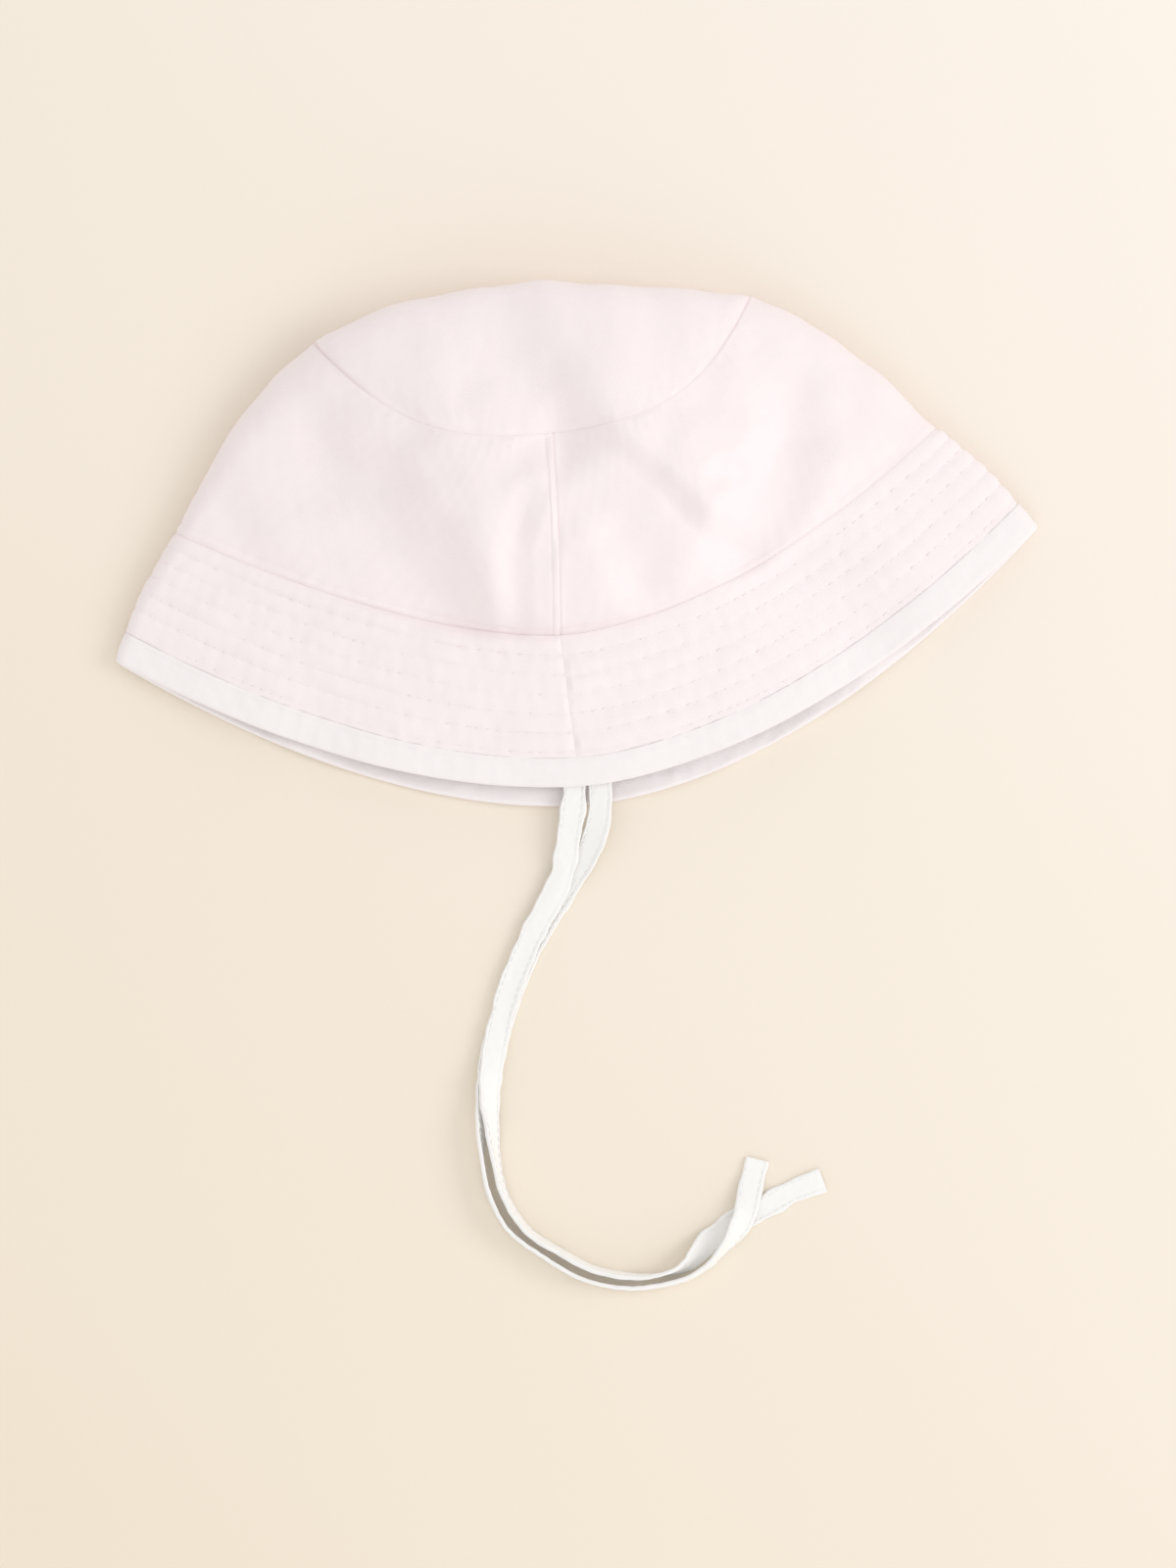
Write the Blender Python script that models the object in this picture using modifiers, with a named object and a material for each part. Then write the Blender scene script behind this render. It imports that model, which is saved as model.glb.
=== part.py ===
# A baby's cotton sun hat with two ties, lying on its side on a flat surface.
# Metres, +Z up. X runs along the brim from the front to the back, Y runs towards
# the top of the crown, and the surface is at Z = 0. The origin is under the
# middle of the hat's own box.
#
# Each half of the hat faces up or down: a ring round the hat starts at the back
# fold (angle 0), crosses the upper side, turns at the front fold (pi) and comes
# back along the lower side. A level says how far up the hat a ring lies: -1 is
# the brim's edge, 0 the base seam and 1 the top seam.

import math
from collections import namedtuple

import bmesh
import bpy
from mathutils import Vector

# Driving sizes of the flat hat
BASE_WIDTH = 0.2174    # across the seam between crown and brim, fold to fold
TOP_WIDTH = 0.1242     # across the ends of the top seam, fold to fold
CROWN_RISE = 0.0459    # from the base seam's ends up to the top seam's ends
BRIM_DEPTH = 0.0405    # from the base seam to the outside of the binding
BRIM_FLARE = 36.0      # degrees that the brim spreads at each fold
BASE_BOW = 0.0440      # how far the base seam's middle hangs below its ends
TOP_BOW = 0.0335       # the same for the top seam
ROOF_RISE = 0.0100     # how far the top outline arches above the top seam's ends

# Heights of the upper side over the surface, at the middle
CROWN_LOFT = 0.0310
BASE_LOFT = 0.0165
MOUTH_LOFT = 0.0100
ROOF_FOLD_HEIGHT = 0.0140   # the middle of the rounded fold along the top outline
LOWER_REACH = 0.0054        # how far the lower brim shows beyond the upper one

# Cloth
CROWN_WALL = 0.0012
BRIM_WALL = 0.0014
BINDING_WALL = 0.0010
BINDING_WIDTH = 0.0080
SEAM_GAP = 0.0004
SEAM_DIP = 0.0004      # how deep the cloth is drawn in beside a seam
SEAM_ROLL = 0.0022     # how wide the drawn-in strip is
CROWN_BEND = 0.0033    # inside radius of the crown's folds at the base seam
TOP_BEND = 0.0068      # and at the top seam
BRIM_BEND = 0.0007     # clear radius inside the binding at the brim's corners
TIE_WIDTH = 0.0070
TIE_WALL = 0.0010

# Cloth colours (linear) and roughness
PINK = (0.90, 0.80, 0.80)
WHITE = (0.88, 0.86, 0.85)
TIE_WHITE = (0.92, 0.91, 0.88)
CLOTH_ROUGHNESS = 0.9

# Mesh counts
UPPER_STEPS = 22       # columns on one quarter of the upper side
LOWER_STEPS = 11       # columns on one quarter of the lower side
LOWER_CROWDING = 1.25  # packs the lower columns towards the folds
CROWN_ROWS = 8
ROOF_RINGS = (0.16, 0.34, 0.55, 0.78)   # shares of the way from the top seam to the fold
BRIM_ROWS = (0.64, 0.30)                # shares of the way from the base seam to the binding
BINDING_TURN = (0.70, 0.30)             # where the folded tape turns, as shares of the brim's wall
TIE_POINTS = 66

BASE_HALF = BASE_WIDTH / 2
TOP_HALF = TOP_WIDTH / 2
EDGE_COVER = BINDING_WALL + SEAM_GAP    # the binding beyond the cloth that it wraps
FLARE = math.radians(BRIM_FLARE)
BASE_END_Y = BRIM_DEPTH * math.cos(FLARE)
TOP_END_Y = BASE_END_Y + CROWN_RISE

# The three seams as shares of their own half width: how far the middle is
# shifted, the tilt of the line through the ends, the powers of the curve on the
# front and back side, and where the ear seam crosses it.
Seam = namedtuple("Seam", "shift tilt front_power back_power ear")
EDGE_SEAM = Seam(shift=0.003, tilt=0.007, front_power=1.78, back_power=1.83, ear=-0.046)
BASE_SEAM = Seam(shift=-0.008, tilt=0.000, front_power=1.58, back_power=1.79, ear=-0.043)
TOP_SEAM = Seam(shift=-0.022, tilt=-0.030, front_power=2.77, back_power=3.07, ear=0.022)
ROOF_POWERS = (3.05, 1.23)
SIDE_BLEND = 0.3       # share of the half width over which the powers change

# Shares and powers that shape the skin between the seams
Form = namedtuple("Form", "crown_bulge brim_bulge brim_middle base_reach lift_run fold_fade "
                          "crown_from crown_to low_turn low_power rise_turn rise_power")
FORM = Form(
    crown_bulge=0.127,    # the outline's bulge between base seam and top seam
    brim_bulge=0.073,     # and between brim edge and base seam
    brim_middle=1.063,    # the brim's depth at its middle over its depth at the folds
    base_reach=0.35,      # the lower side's reach at the base seam over LOWER_REACH
    lift_run=0.8,         # share of the brim over which its edge lifts off the surface
    fold_fade=4,          # the folds die out within this many bends of a side fold
    crown_from=-0.10,     # levels between which the brim's folds give way to the crown's
    crown_to=0.06,
    low_turn=0.6,         # how the top panel turns under along the top outline
    low_power=0.7,
    rise_turn=0.9,        # and how it rises from there to the top seam
    rise_power=0.8,
)

# How the upper side climbs from the base seam to the top seam, as shares of the
# difference between BASE_LOFT and CROWN_LOFT.
Climb = namedtuple("Climb", "level share")
CLIMB = (
    Climb(0.00, 0.00),
    Climb(0.10, 0.30),
    Climb(0.25, 0.62),
    Climb(0.50, 0.90),
    Climb(0.75, 1.00),
    Climb(1.00, 0.97),
)

# Folds of the upper side: three points from the middle of the base seam's ends,
# in shares of BASE_HALF, how far the fold reaches to its front and back side in
# the same shares, and its depth at both ends in shares of CROWN_LOFT. A fold
# with a negative depth is a valley.
Fold = namedtuple("Fold", "name part x0 y0 x1 y1 x2 y2 front back depth0 depth1")
FOLDS = (
    Fold("front valley", "crown", -0.69, 0.25, -0.49, 0.02, -0.30, -0.36, 0.26, 0.16, -0.17, -0.14),
    Fold("front ridge", "crown", -0.29, 0.12, -0.21, -0.07, -0.20, -0.30, 0.13, 0.10, 0.04, 0.06),
    Fold("narrow valley", "crown", -0.08, -0.04, -0.15, -0.19, -0.16, -0.36, 0.06, 0.06, -0.04, -0.06),
    Fold("ear valley", "crown", 0.03, 0.13, 0.01, -0.01, -0.02, -0.14, 0.08, 0.15, -0.06, -0.03),
    Fold("roof valley", "crown", -0.12, 0.44, -0.09, 0.29, 0.00, 0.13, 0.20, 0.19, -0.13, -0.19),
    Fold("roof dimple", "crown", -0.35, 0.38, -0.29, 0.31, -0.22, 0.27, 0.10, 0.10, -0.03, -0.04),
    Fold("back crease", "crown", 0.13, 0.15, 0.29, 0.00, 0.38, -0.13, 0.08, 0.26, 0.12, 0.15),
    Fold("crease valley", "crown", 0.11, -0.06, 0.14, -0.17, 0.18, -0.30, 0.10, 0.15, -0.04, -0.07),
    Fold("curled ridge", "crown", 0.38, -0.06, 0.40, -0.15, 0.28, -0.30, 0.13, 0.05, 0.03, 0.05),
    Fold("knot", "crown", 0.41, -0.06, 0.43, -0.05, 0.45, -0.05, 0.06, 0.06, -0.11, -0.11),
    Fold("back valley", "crown", 0.61, 0.27, 0.60, 0.03, 0.44, -0.23, 0.11, 0.16, -0.14, -0.24),
    Fold("back brim sag", "brim", 0.55, -0.30, 0.64, -0.38, 0.72, -0.47, 0.22, 0.22, -0.12, -0.10),
)

# The ties' routes over the surface, from the middle of the brim's corners: the
# middle of the tape, its height and its turn from flat (0) to on edge (90).
Point = namedtuple("Point", "x y z turn")
LEFT_TIE = (
    Point(-0.0060, -0.0135, 0.0118, 0),
    Point(-0.0064, -0.0240, 0.0095, 0),
    Point(-0.0068, -0.0380, 0.0069, 0),
    Point(-0.0076, -0.0546, 0.0055, 0),
    Point(-0.0107, -0.0665, 0.0042, 0),
    Point(-0.0141, -0.0773, 0.0026, 0),
    Point(-0.0185, -0.0846, 0.0022, 0),
    Point(-0.0258, -0.0948, 0.0022, 0),
    Point(-0.0347, -0.1107, 0.0022, 0),
    Point(-0.0405, -0.1259, 0.0025, 8),
    Point(-0.0431, -0.1365, 0.0038, 32),
    Point(-0.0437, -0.1465, 0.0041, 58),
    Point(-0.0438, -0.1550, 0.0038, 73),
    Point(-0.0427, -0.1658, 0.0037, 78),
    Point(-0.0376, -0.1767, 0.0037, 80),
    Point(-0.0295, -0.1838, 0.0037, 82),
    Point(-0.0202, -0.1902, 0.0037, 83),
    Point(-0.0086, -0.1938, 0.0037, 86),
    Point(0.0006, -0.1938, 0.0036, 100),
    Point(0.0051, -0.1926, 0.0033, 118),
    Point(0.0085, -0.1903, 0.0024, 144),
    Point(0.0120, -0.1874, 0.0013, 164),
    Point(0.0163, -0.1848, 0.0007, 178),
    Point(0.0213, -0.1822, 0.0006, 180),
    Point(0.0291, -0.1796, 0.0006, 180),
    Point(0.0381, -0.1761, 0.0006, 180),
    Point(0.0473, -0.1740, 0.0006, 180),
)
RIGHT_TIE = (
    Point(-0.0010, -0.0150, 0.0030, 0),
    Point(-0.0006, -0.0300, 0.0037, 0),
    Point(-0.0003, -0.0430, 0.0052, 0),
    Point(-0.0002, -0.0546, 0.0055, -4),
    Point(-0.0020, -0.0645, 0.0049, -12),
    Point(-0.0066, -0.0735, 0.0024, -12),
    Point(-0.0128, -0.0810, 0.0008, -2),
    Point(-0.0200, -0.0893, 0.0006, 0),
    Point(-0.0278, -0.0998, 0.0006, 0),
    Point(-0.0352, -0.1130, 0.0006, 0),
    Point(-0.0412, -0.1262, 0.0011, 8),
    Point(-0.0442, -0.1370, 0.0024, 34),
    Point(-0.0465, -0.1460, 0.0035, 66),
    Point(-0.0477, -0.1545, 0.0037, 88),
    Point(-0.0473, -0.1649, 0.0037, 96),
    Point(-0.0432, -0.1756, 0.0037, 92),
    Point(-0.0351, -0.1840, 0.0037, 95),
    Point(-0.0242, -0.1924, 0.0037, 95),
    Point(-0.0113, -0.1967, 0.0037, 97),
    Point(0.0030, -0.1965, 0.0037, 98),
    Point(0.0109, -0.1938, 0.0037, 102),
    Point(0.0162, -0.1896, 0.0037, 112),
    Point(0.0201, -0.1858, 0.0037, 134),
    Point(0.0231, -0.1818, 0.0035, 160),
    Point(0.0247, -0.1784, 0.0028, 176),
    Point(0.0261, -0.1745, 0.0019, 180),
    Point(0.0278, -0.1702, 0.0009, 180),
    Point(0.0297, -0.1656, 0.0006, 180),
)


def mix(low, high, share):
    return low + (high - low) * share


def smooth(low, high, value):
    share = min(1.0, max(0.0, (value - low) / (high - low)))
    return share * share * (3 - 2 * share)


def through(rows, key, column, value):
    """Read one column of a table on a smooth curve through its rows."""
    spot = 0
    while spot < len(rows) - 2 and getattr(rows[spot + 1], key) < value:
        spot += 1
    before, start, end, after = (
        rows[max(0, spot - 1)], rows[spot], rows[spot + 1], rows[min(len(rows) - 1, spot + 2)])
    place = {name: getattr(row, key) for name, row in
             (("before", before), ("start", start), ("end", end), ("after", after))}
    height = {name: getattr(row, column) for name, row in
              (("before", before), ("start", start), ("end", end), ("after", after))}
    span = place["end"] - place["start"]
    leave = (height["end"] - height["before"]) / (place["end"] - place["before"]) * span
    arrive = (height["after"] - height["start"]) / (place["after"] - place["start"]) * span
    share = (value - place["start"]) / span
    square, cube = share ** 2, share ** 3
    return ((2 * cube - 3 * square + 1) * height["start"] + (cube - 2 * square + share) * leave
            + (3 * square - 2 * cube) * height["end"] + (cube - square) * arrive)


# The hat's skin: its outer side, before it gets a wall

Section = namedtuple("Section", "half shift end_y tilt bow reach front_power back_power ear "
                                "bend lift loft")


def seam_mix(low, high, share):
    return Seam(*(mix(a, b, share) for a, b in zip(low, high)))


def section_at(level):
    """The ring at a level: widths, bow, fold radius and heights."""
    if level <= 0:
        share = -level
        seam = seam_mix(BASE_SEAM, EDGE_SEAM, share)
        cloth = BRIM_DEPTH - EDGE_COVER
        half = BASE_HALF + cloth * math.sin(FLARE) * share
        bulged = share - FORM.brim_bulge * math.sin(math.pi * share)
        end_y = BASE_END_Y - cloth * math.cos(FLARE) * bulged
        middle = BASE_END_Y - BASE_BOW - (BRIM_DEPTH * FORM.brim_middle - EDGE_COVER) * share
        edge_bend = BRIM_BEND + BINDING_WALL + SEAM_GAP + BRIM_WALL
        return Section(half, seam.shift * half, end_y, seam.tilt * half, end_y - middle,
                       LOWER_REACH * mix(FORM.base_reach, 1.0, share), seam.front_power, seam.back_power,
                       seam.ear, mix(CROWN_WALL + CROWN_BEND, edge_bend, share),
                       EDGE_COVER * smooth(0.0, FORM.lift_run, share), mix(BASE_LOFT, MOUTH_LOFT, share))
    seam = seam_mix(BASE_SEAM, TOP_SEAM, level)
    half = mix(BASE_HALF, TOP_HALF, level)
    end_y = BASE_END_Y + CROWN_RISE * (level + FORM.crown_bulge * math.sin(math.pi * level))
    middle = mix(BASE_END_Y - BASE_BOW, TOP_END_Y - TOP_BOW, level)
    climb = through(CLIMB, "level", "share", level)
    return Section(half, seam.shift * half, end_y, seam.tilt * half, end_y - middle,
                   LOWER_REACH * FORM.base_reach * (1 - level), seam.front_power, seam.back_power, seam.ear,
                   CROWN_WALL + mix(CROWN_BEND, TOP_BEND, level), 0.0,
                   mix(BASE_LOFT, CROWN_LOFT, climb))


def side_power(across, front_power, back_power):
    return mix(front_power, back_power, smooth(-SIDE_BLEND, SIDE_BLEND, across))


def fold_height(x, y, part):
    """Height that the named folds add at a place on the upper side."""
    spot = Vector((x / BASE_HALF, (y - BASE_END_Y) / BASE_HALF))
    total = 0.0
    for fold in FOLDS:
        if fold.part != part:
            continue
        points = [Vector((fold.x0, fold.y0)), Vector((fold.x1, fold.y1)), Vector((fold.x2, fold.y2))]
        best = None
        for leg, (start, end) in enumerate(zip(points, points[1:])):
            run = end - start
            along = min(1.0, max(0.0, (spot - start).dot(run) / run.length_squared))
            away = spot - (start + run * along)
            distance = away.length
            if best is None or distance < best[0]:
                turn = (run.x * away.y - run.y * away.x) / (run.length * distance) if distance else 0.0
                best = (distance, turn, (leg + along) / 2)
        distance, turn, along = best
        reach = mix(fold.front, fold.back, 0.5 + 0.5 * turn)
        if distance < reach:
            total += mix(fold.depth0, fold.depth1, along) * (1 - smooth(0.0, reach, distance))
    return total * CROWN_LOFT


def skin(level, angle):
    """A point on the crown's or the brim's outer side."""
    ring = section_at(level)
    upper = math.sin(angle) >= 0
    turn = math.cos(angle)
    across = turn + ring.ear * (1 - turn * turn)
    power = side_power(across, ring.front_power, ring.back_power)
    bow = ring.bow if upper else ring.bow + ring.reach
    x = ring.shift + ring.half * across
    y = ring.end_y + ring.tilt * across - bow * (1 - abs(across) ** power)
    inset = ring.half * (1 - abs(across))
    roll = math.sqrt(max(0.0, 2 * ring.bend * inset - inset * inset)) if inset < ring.bend else ring.bend
    if not upper:
        return Vector((x, y, ring.lift + ring.bend - roll))
    dome = max(0.0, ring.loft - ring.lift - 2 * ring.bend) * (1 - across * across)
    fade = smooth(0.0, FORM.fold_fade * ring.bend, inset)
    crown_share = smooth(FORM.crown_from, FORM.crown_to, level)
    folds = (fold_height(x, y, "crown") * crown_share
             + fold_height(x, y, "brim") * (1 - crown_share)) * fade
    return Vector((x, y, ring.lift + ring.bend + roll + dome + folds))


def roof_skin(share, angle):
    """A point on the top panel: share 0 is its seam, share 1 the middle of its fold."""
    ring = section_at(1.0)
    out = (1 - share) * math.cos(angle)
    up = (1 - share) * math.sin(angle)
    across = out + ring.ear * (1 - out * out)
    turn = up / math.sqrt(max(1e-12, 1 - out * out)) * math.pi / 2
    turn = min(math.pi / 2, max(-math.pi / 2, turn))
    chord = ring.end_y + ring.tilt * across
    seam_y = chord - ring.bow * (1 - abs(across) ** side_power(across, ring.front_power,
                                                               ring.back_power))
    fold_y = chord + ROOF_RISE * (1 - abs(across) ** side_power(across, *ROOF_POWERS))
    fold_z = mix(ring.bend, ROOF_FOLD_HEIGHT, math.sqrt(max(0.0, 1 - across * across)))
    x = ring.shift + ring.half * across
    y = seam_y + (fold_y - seam_y) * math.cos(turn)
    inset = ring.half * (1 - abs(across))
    roll = math.sqrt(max(0.0, 2 * ring.bend * inset - inset * inset)) if inset < ring.bend else ring.bend
    if turn < 0:
        low = ring.bend - roll
        drop = min(1.0, math.sin(-turn) / FORM.low_turn)
        return Vector((x, y, mix(fold_z, low, drop ** FORM.low_power)))
    dome = max(0.0, ring.loft - 2 * ring.bend) * (1 - across * across)
    seam_z = ring.bend + roll + dome
    rise = math.sin(turn)
    fade = smooth(0.0, FORM.fold_fade * ring.bend, inset) * smooth(0.0, FORM.rise_turn, rise)
    folds = fold_height(x, y, "crown") * fade
    return Vector((x, y, mix(fold_z, seam_z, rise ** FORM.rise_power) + folds))


def outward(surface, row, angle):
    """The unit normal of the skin, pointing out of the hat."""
    step = 1e-3
    along = surface(row + step, angle) - surface(row - step, angle)
    around = surface(row, angle + step) - surface(row, angle - step)
    return along.cross(around).normalized()


# The part's origin is under the middle of the hat's box
TOP_Y = max(roof_skin(1 - 0.01 * step, angle).y for step in range(90) for angle in (0, math.pi))
LOW_Y = min(skin(-1.0, math.pi * (1 + 0.01 * step)).y for step in range(100)) - EDGE_COVER
MIDDLE = Vector((0.0, (TOP_Y + LOW_Y) / 2, 0.0))


# Meshes, materials and walls

def fabric(name, color):
    material = bpy.data.materials.new(name)
    material.use_nodes = True
    shader = material.node_tree.nodes["Principled BSDF"]
    shader.inputs["Base Color"].default_value = (*color, 1.0)
    shader.inputs["Roughness"].default_value = CLOTH_ROUGHNESS
    shader.inputs["Metallic"].default_value = 0.0
    return material


def place_in_hat(piece, collection, color):
    piece.data.materials.append(fabric(piece.name + "_cloth", color))
    collection.objects.link(piece)
    return piece


def loft(name, rows, closed, pole=None):
    """An open surface through rows of points, each a ring or an open line."""
    shape = bmesh.new()
    lines = [[shape.verts.new(point - MIDDLE) for point in row] for row in rows]
    count = len(lines[0])
    for low, high in zip(lines, lines[1:]):
        for column in range(count if closed else count - 1):
            after = (column + 1) % count
            shape.faces.new((low[column], high[column], high[after], low[after]))
    if pole is not None:
        tip = shape.verts.new(pole - MIDDLE)
        last = lines[-1]
        for column in range(count):
            shape.faces.new((last[column], tip, last[(column + 1) % count]))
    mesh = bpy.data.meshes.new(name)
    shape.to_mesh(mesh)
    shape.free()
    mesh.shade_smooth()
    return bpy.data.objects.new(name, mesh)


def add_wall(piece, wall, side):
    """Give the surface its wall, inwards (-1) or outwards (1)."""
    solidify = piece.modifiers.new("wall", "SOLIDIFY")
    solidify.thickness = wall
    solidify.offset = side
    solidify.use_even_offset = True
    solidify.use_quality_normals = True


def quarter(start, end, steps, crowding=1.0):
    """Angles from a fold to an ear seam, packed towards the fold."""
    return [mix(start, end, (step / steps) ** crowding) for step in range(steps + 1)]


def front_angles():
    """From the upper ear seam over the front fold to the lower ear seam."""
    upper = quarter(math.pi, math.pi / 2, UPPER_STEPS)[::-1]
    lower = quarter(math.pi, math.pi * 1.5, LOWER_STEPS, LOWER_CROWDING)
    return upper + lower[1:]


def back_angles():
    """From the lower ear seam over the back fold to the upper ear seam."""
    lower = quarter(2 * math.pi, math.pi * 1.5, LOWER_STEPS, LOWER_CROWDING)[::-1]
    upper = quarter(2 * math.pi, math.pi * 2.5, UPPER_STEPS)
    return lower + upper[1:]


def wrapped(level):
    """Whether the binding covers the brim at this level."""
    return level < -1 + (BINDING_WIDTH + SEAM_ROLL) / BRIM_DEPTH


Column = namedtuple("Column", "angle shift dip")


def panel_columns(angles):
    """A panel's columns, with its rolled edges beside both ear seams."""
    edge = SEAM_GAP / 2
    roll = edge + SEAM_ROLL
    columns = [Column(angle, 0.0, 0.0) for angle in angles[1:-1]]
    start = [Column(angles[0], edge, SEAM_DIP), Column(angles[0], roll, 0.0)]
    end = [Column(angles[-1], -roll, 0.0), Column(angles[-1], -edge, SEAM_DIP)]
    return start + columns + end


def ring_columns():
    """Columns all the way round, in line with the panels'."""
    front = panel_columns(front_angles())
    back = panel_columns(back_angles())
    upper_ear = Column(front[0].angle, 0.0, 0.0)
    lower_ear = Column(front[-1].angle, 0.0, 0.0)
    return [upper_ear] + front[1:-1] + [lower_ear] + back[1:-1]


def panel(name, angles, rows, wall, color, collection):
    """Half of the crown or of the brim, drawn in beside its seams."""
    grid = []
    for level, row_dip in rows:
        half = section_at(level).half
        line = []
        for column in panel_columns(angles):
            angle = column.angle + column.shift / half
            dip = max(row_dip, 0.0 if wrapped(level) else column.dip)
            line.append(skin(level, angle) - outward(skin, level, angle) * dip)
        grid.append(line)
    piece = loft(name, grid, closed=False)
    add_wall(piece, wall, -1)
    return place_in_hat(piece, collection, color)


def crown_rows():
    cloth = math.hypot(CROWN_RISE, (BASE_WIDTH - TOP_WIDTH) / 2)
    edge = SEAM_GAP / 2 / cloth
    inner = edge + SEAM_ROLL / cloth
    rows = [(edge, SEAM_DIP), (inner, 0.0)]
    rows += [(mix(inner, 1 - inner, step / CROWN_ROWS), 0.0) for step in range(1, CROWN_ROWS)]
    return rows + [(1 - inner, 0.0), (1 - edge, SEAM_DIP)]


def brim_rows():
    """From the edge inside the binding up to the base seam."""
    edge = SEAM_GAP / 2 / BRIM_DEPTH
    inner = edge + SEAM_ROLL / BRIM_DEPTH
    bound = 1 - (BINDING_WIDTH - EDGE_COVER) / BRIM_DEPTH
    rows = [(-1.0, 0.0), (-bound, 0.0)] + [(-mix(inner, bound, share), 0.0) for share in BRIM_ROWS]
    return rows + [(-inner, 0.0), (-edge, SEAM_DIP)]


def top_panel(collection):
    """The oval top panel, folded in two along the top outline."""
    edge = SEAM_GAP / 2 / TOP_HALF
    inner = edge + SEAM_ROLL / TOP_HALF
    angles = [column.angle + column.shift / TOP_HALF for column in ring_columns()]
    rows = []
    for share, dip in ((edge, SEAM_DIP), (inner, 0.0), *((share, 0.0) for share in ROOF_RINGS)):
        rows.append([roof_skin(share, angle) - outward(roof_skin, share, angle) * dip
                     for angle in angles])
    piece = loft("crown_top", rows, closed=True, pole=roof_skin(1.0, 0.0))
    add_wall(piece, CROWN_WALL, -1)
    return place_in_hat(piece, collection, PINK)


def binding(collection):
    """Folded tape round the brim's edge: its inner side follows the brim, with a gap."""
    bound = -1 + (BINDING_WIDTH - EDGE_COVER) / BRIM_DEPTH
    inside = BRIM_WALL + SEAM_GAP
    # level, out from the brim's outer side, and out past the brim's edge
    profile = (
        (bound, -inside, 0.0),
        (-1.0, -inside, 0.0),
        *((-1.0, -turn * BRIM_WALL, SEAM_GAP) for turn in BINDING_TURN),
        (-1.0, SEAM_GAP, 0.0),
        (bound, SEAM_GAP, 0.0),
    )
    rows = []
    for level, out, past in profile:
        row = []
        half = section_at(level).half
        for column in ring_columns():
            angle = column.angle + column.shift / half
            normal = outward(skin, level, angle)
            edge_way = (skin(level - 1e-3, angle) - skin(level + 1e-3, angle)).normalized()
            row.append(skin(level, angle) + normal * out + edge_way * past)
        rows.append(row)
    piece = loft("brim_binding", rows, closed=True)
    add_wall(piece, BINDING_WALL, 1)
    return place_in_hat(piece, collection, WHITE)


def smooth_route(points, count):
    """Evenly numbered places on a smooth curve through hand-chosen points."""
    rows = [Vector((point.x, point.y, point.z, point.turn)) for point in points]
    places = []
    for step in range(count):
        run = step / (count - 1) * (len(rows) - 1)
        spot = min(int(run), len(rows) - 2)
        share = run - spot
        before, start = rows[max(0, spot - 1)], rows[spot]
        end, after = rows[spot + 1], rows[min(len(rows) - 1, spot + 2)]
        places.append(0.5 * ((2 * start) + (end - before) * share
                             + (2 * before - 5 * start + 4 * end - after) * share ** 2
                             + (3 * start - before - 3 * end + after) * share ** 3))
    return places


def tie(name, points, collection):
    """A flat tape along its route, turned from flat to on edge where it twists."""
    curve = bpy.data.curves.new(name, "CURVE")
    curve.dimensions = "3D"
    curve.twist_mode = "Z_UP"
    curve.extrude = (TIE_WIDTH - TIE_WALL) / 2
    curve.bevel_depth = TIE_WALL / 2
    curve.bevel_resolution = 0
    curve.use_fill_caps = True
    places = smooth_route(points, TIE_POINTS)
    spline = curve.splines.new("POLY")
    spline.points.add(len(places) - 1)
    for target, place in zip(spline.points, places):
        target.co = (*(place.to_3d() - MIDDLE), 1.0)
        target.tilt = math.radians(90 - place.w)
    piece = bpy.data.objects.new(name, curve)
    return place_in_hat(piece, collection, TIE_WHITE)


def build():
    for old in list(bpy.data.objects):
        bpy.data.objects.remove(old, do_unlink=True)
    hat = bpy.data.collections.new("sun_hat")
    bpy.context.scene.collection.children.link(hat)
    panel("crown_front", front_angles(), crown_rows(), CROWN_WALL, PINK, hat)
    panel("crown_back", back_angles(), crown_rows(), CROWN_WALL, PINK, hat)
    panel("brim_front", front_angles(), brim_rows(), BRIM_WALL, PINK, hat)
    panel("brim_back", back_angles(), brim_rows(), BRIM_WALL, PINK, hat)
    top_panel(hat)
    binding(hat)
    tie("tie_left", LEFT_TIE, hat)
    tie("tie_right", RIGHT_TIE, hat)


build()
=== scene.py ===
# A baby's cotton sun hat with two ties, lying on its side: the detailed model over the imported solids.
# Metres, +Z up. X runs along the brim from its front corner to its back corner, Y towards the top of
# the crown. A level says how far up the hat a place is (-1 brim edge, 0 base seam, 1 top seam) and an
# angle says where on the ring round it (0 back fold, pi/2 upper ear seam, pi front fold).
import math

import bmesh
import bpy
import numpy as np
from mathutils import Matrix, Vector


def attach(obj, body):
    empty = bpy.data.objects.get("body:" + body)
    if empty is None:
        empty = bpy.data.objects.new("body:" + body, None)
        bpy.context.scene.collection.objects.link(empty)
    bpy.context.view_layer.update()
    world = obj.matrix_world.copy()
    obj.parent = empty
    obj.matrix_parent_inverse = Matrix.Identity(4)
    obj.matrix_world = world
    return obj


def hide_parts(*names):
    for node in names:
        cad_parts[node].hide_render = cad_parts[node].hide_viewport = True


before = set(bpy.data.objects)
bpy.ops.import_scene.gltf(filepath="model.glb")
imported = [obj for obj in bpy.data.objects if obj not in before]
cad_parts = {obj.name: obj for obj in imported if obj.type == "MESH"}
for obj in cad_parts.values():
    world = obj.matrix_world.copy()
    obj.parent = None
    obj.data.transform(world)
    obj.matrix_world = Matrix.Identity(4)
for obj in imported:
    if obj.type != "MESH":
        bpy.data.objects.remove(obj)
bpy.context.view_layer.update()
planMiddle = np.array([0.0, 0.014655, 0.0])  # plan places are measured from the middle of the brim's chord
print("frame loaded:", len(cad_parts), "solids")


# Camera: straight above the hat, as in the photograph

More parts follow.
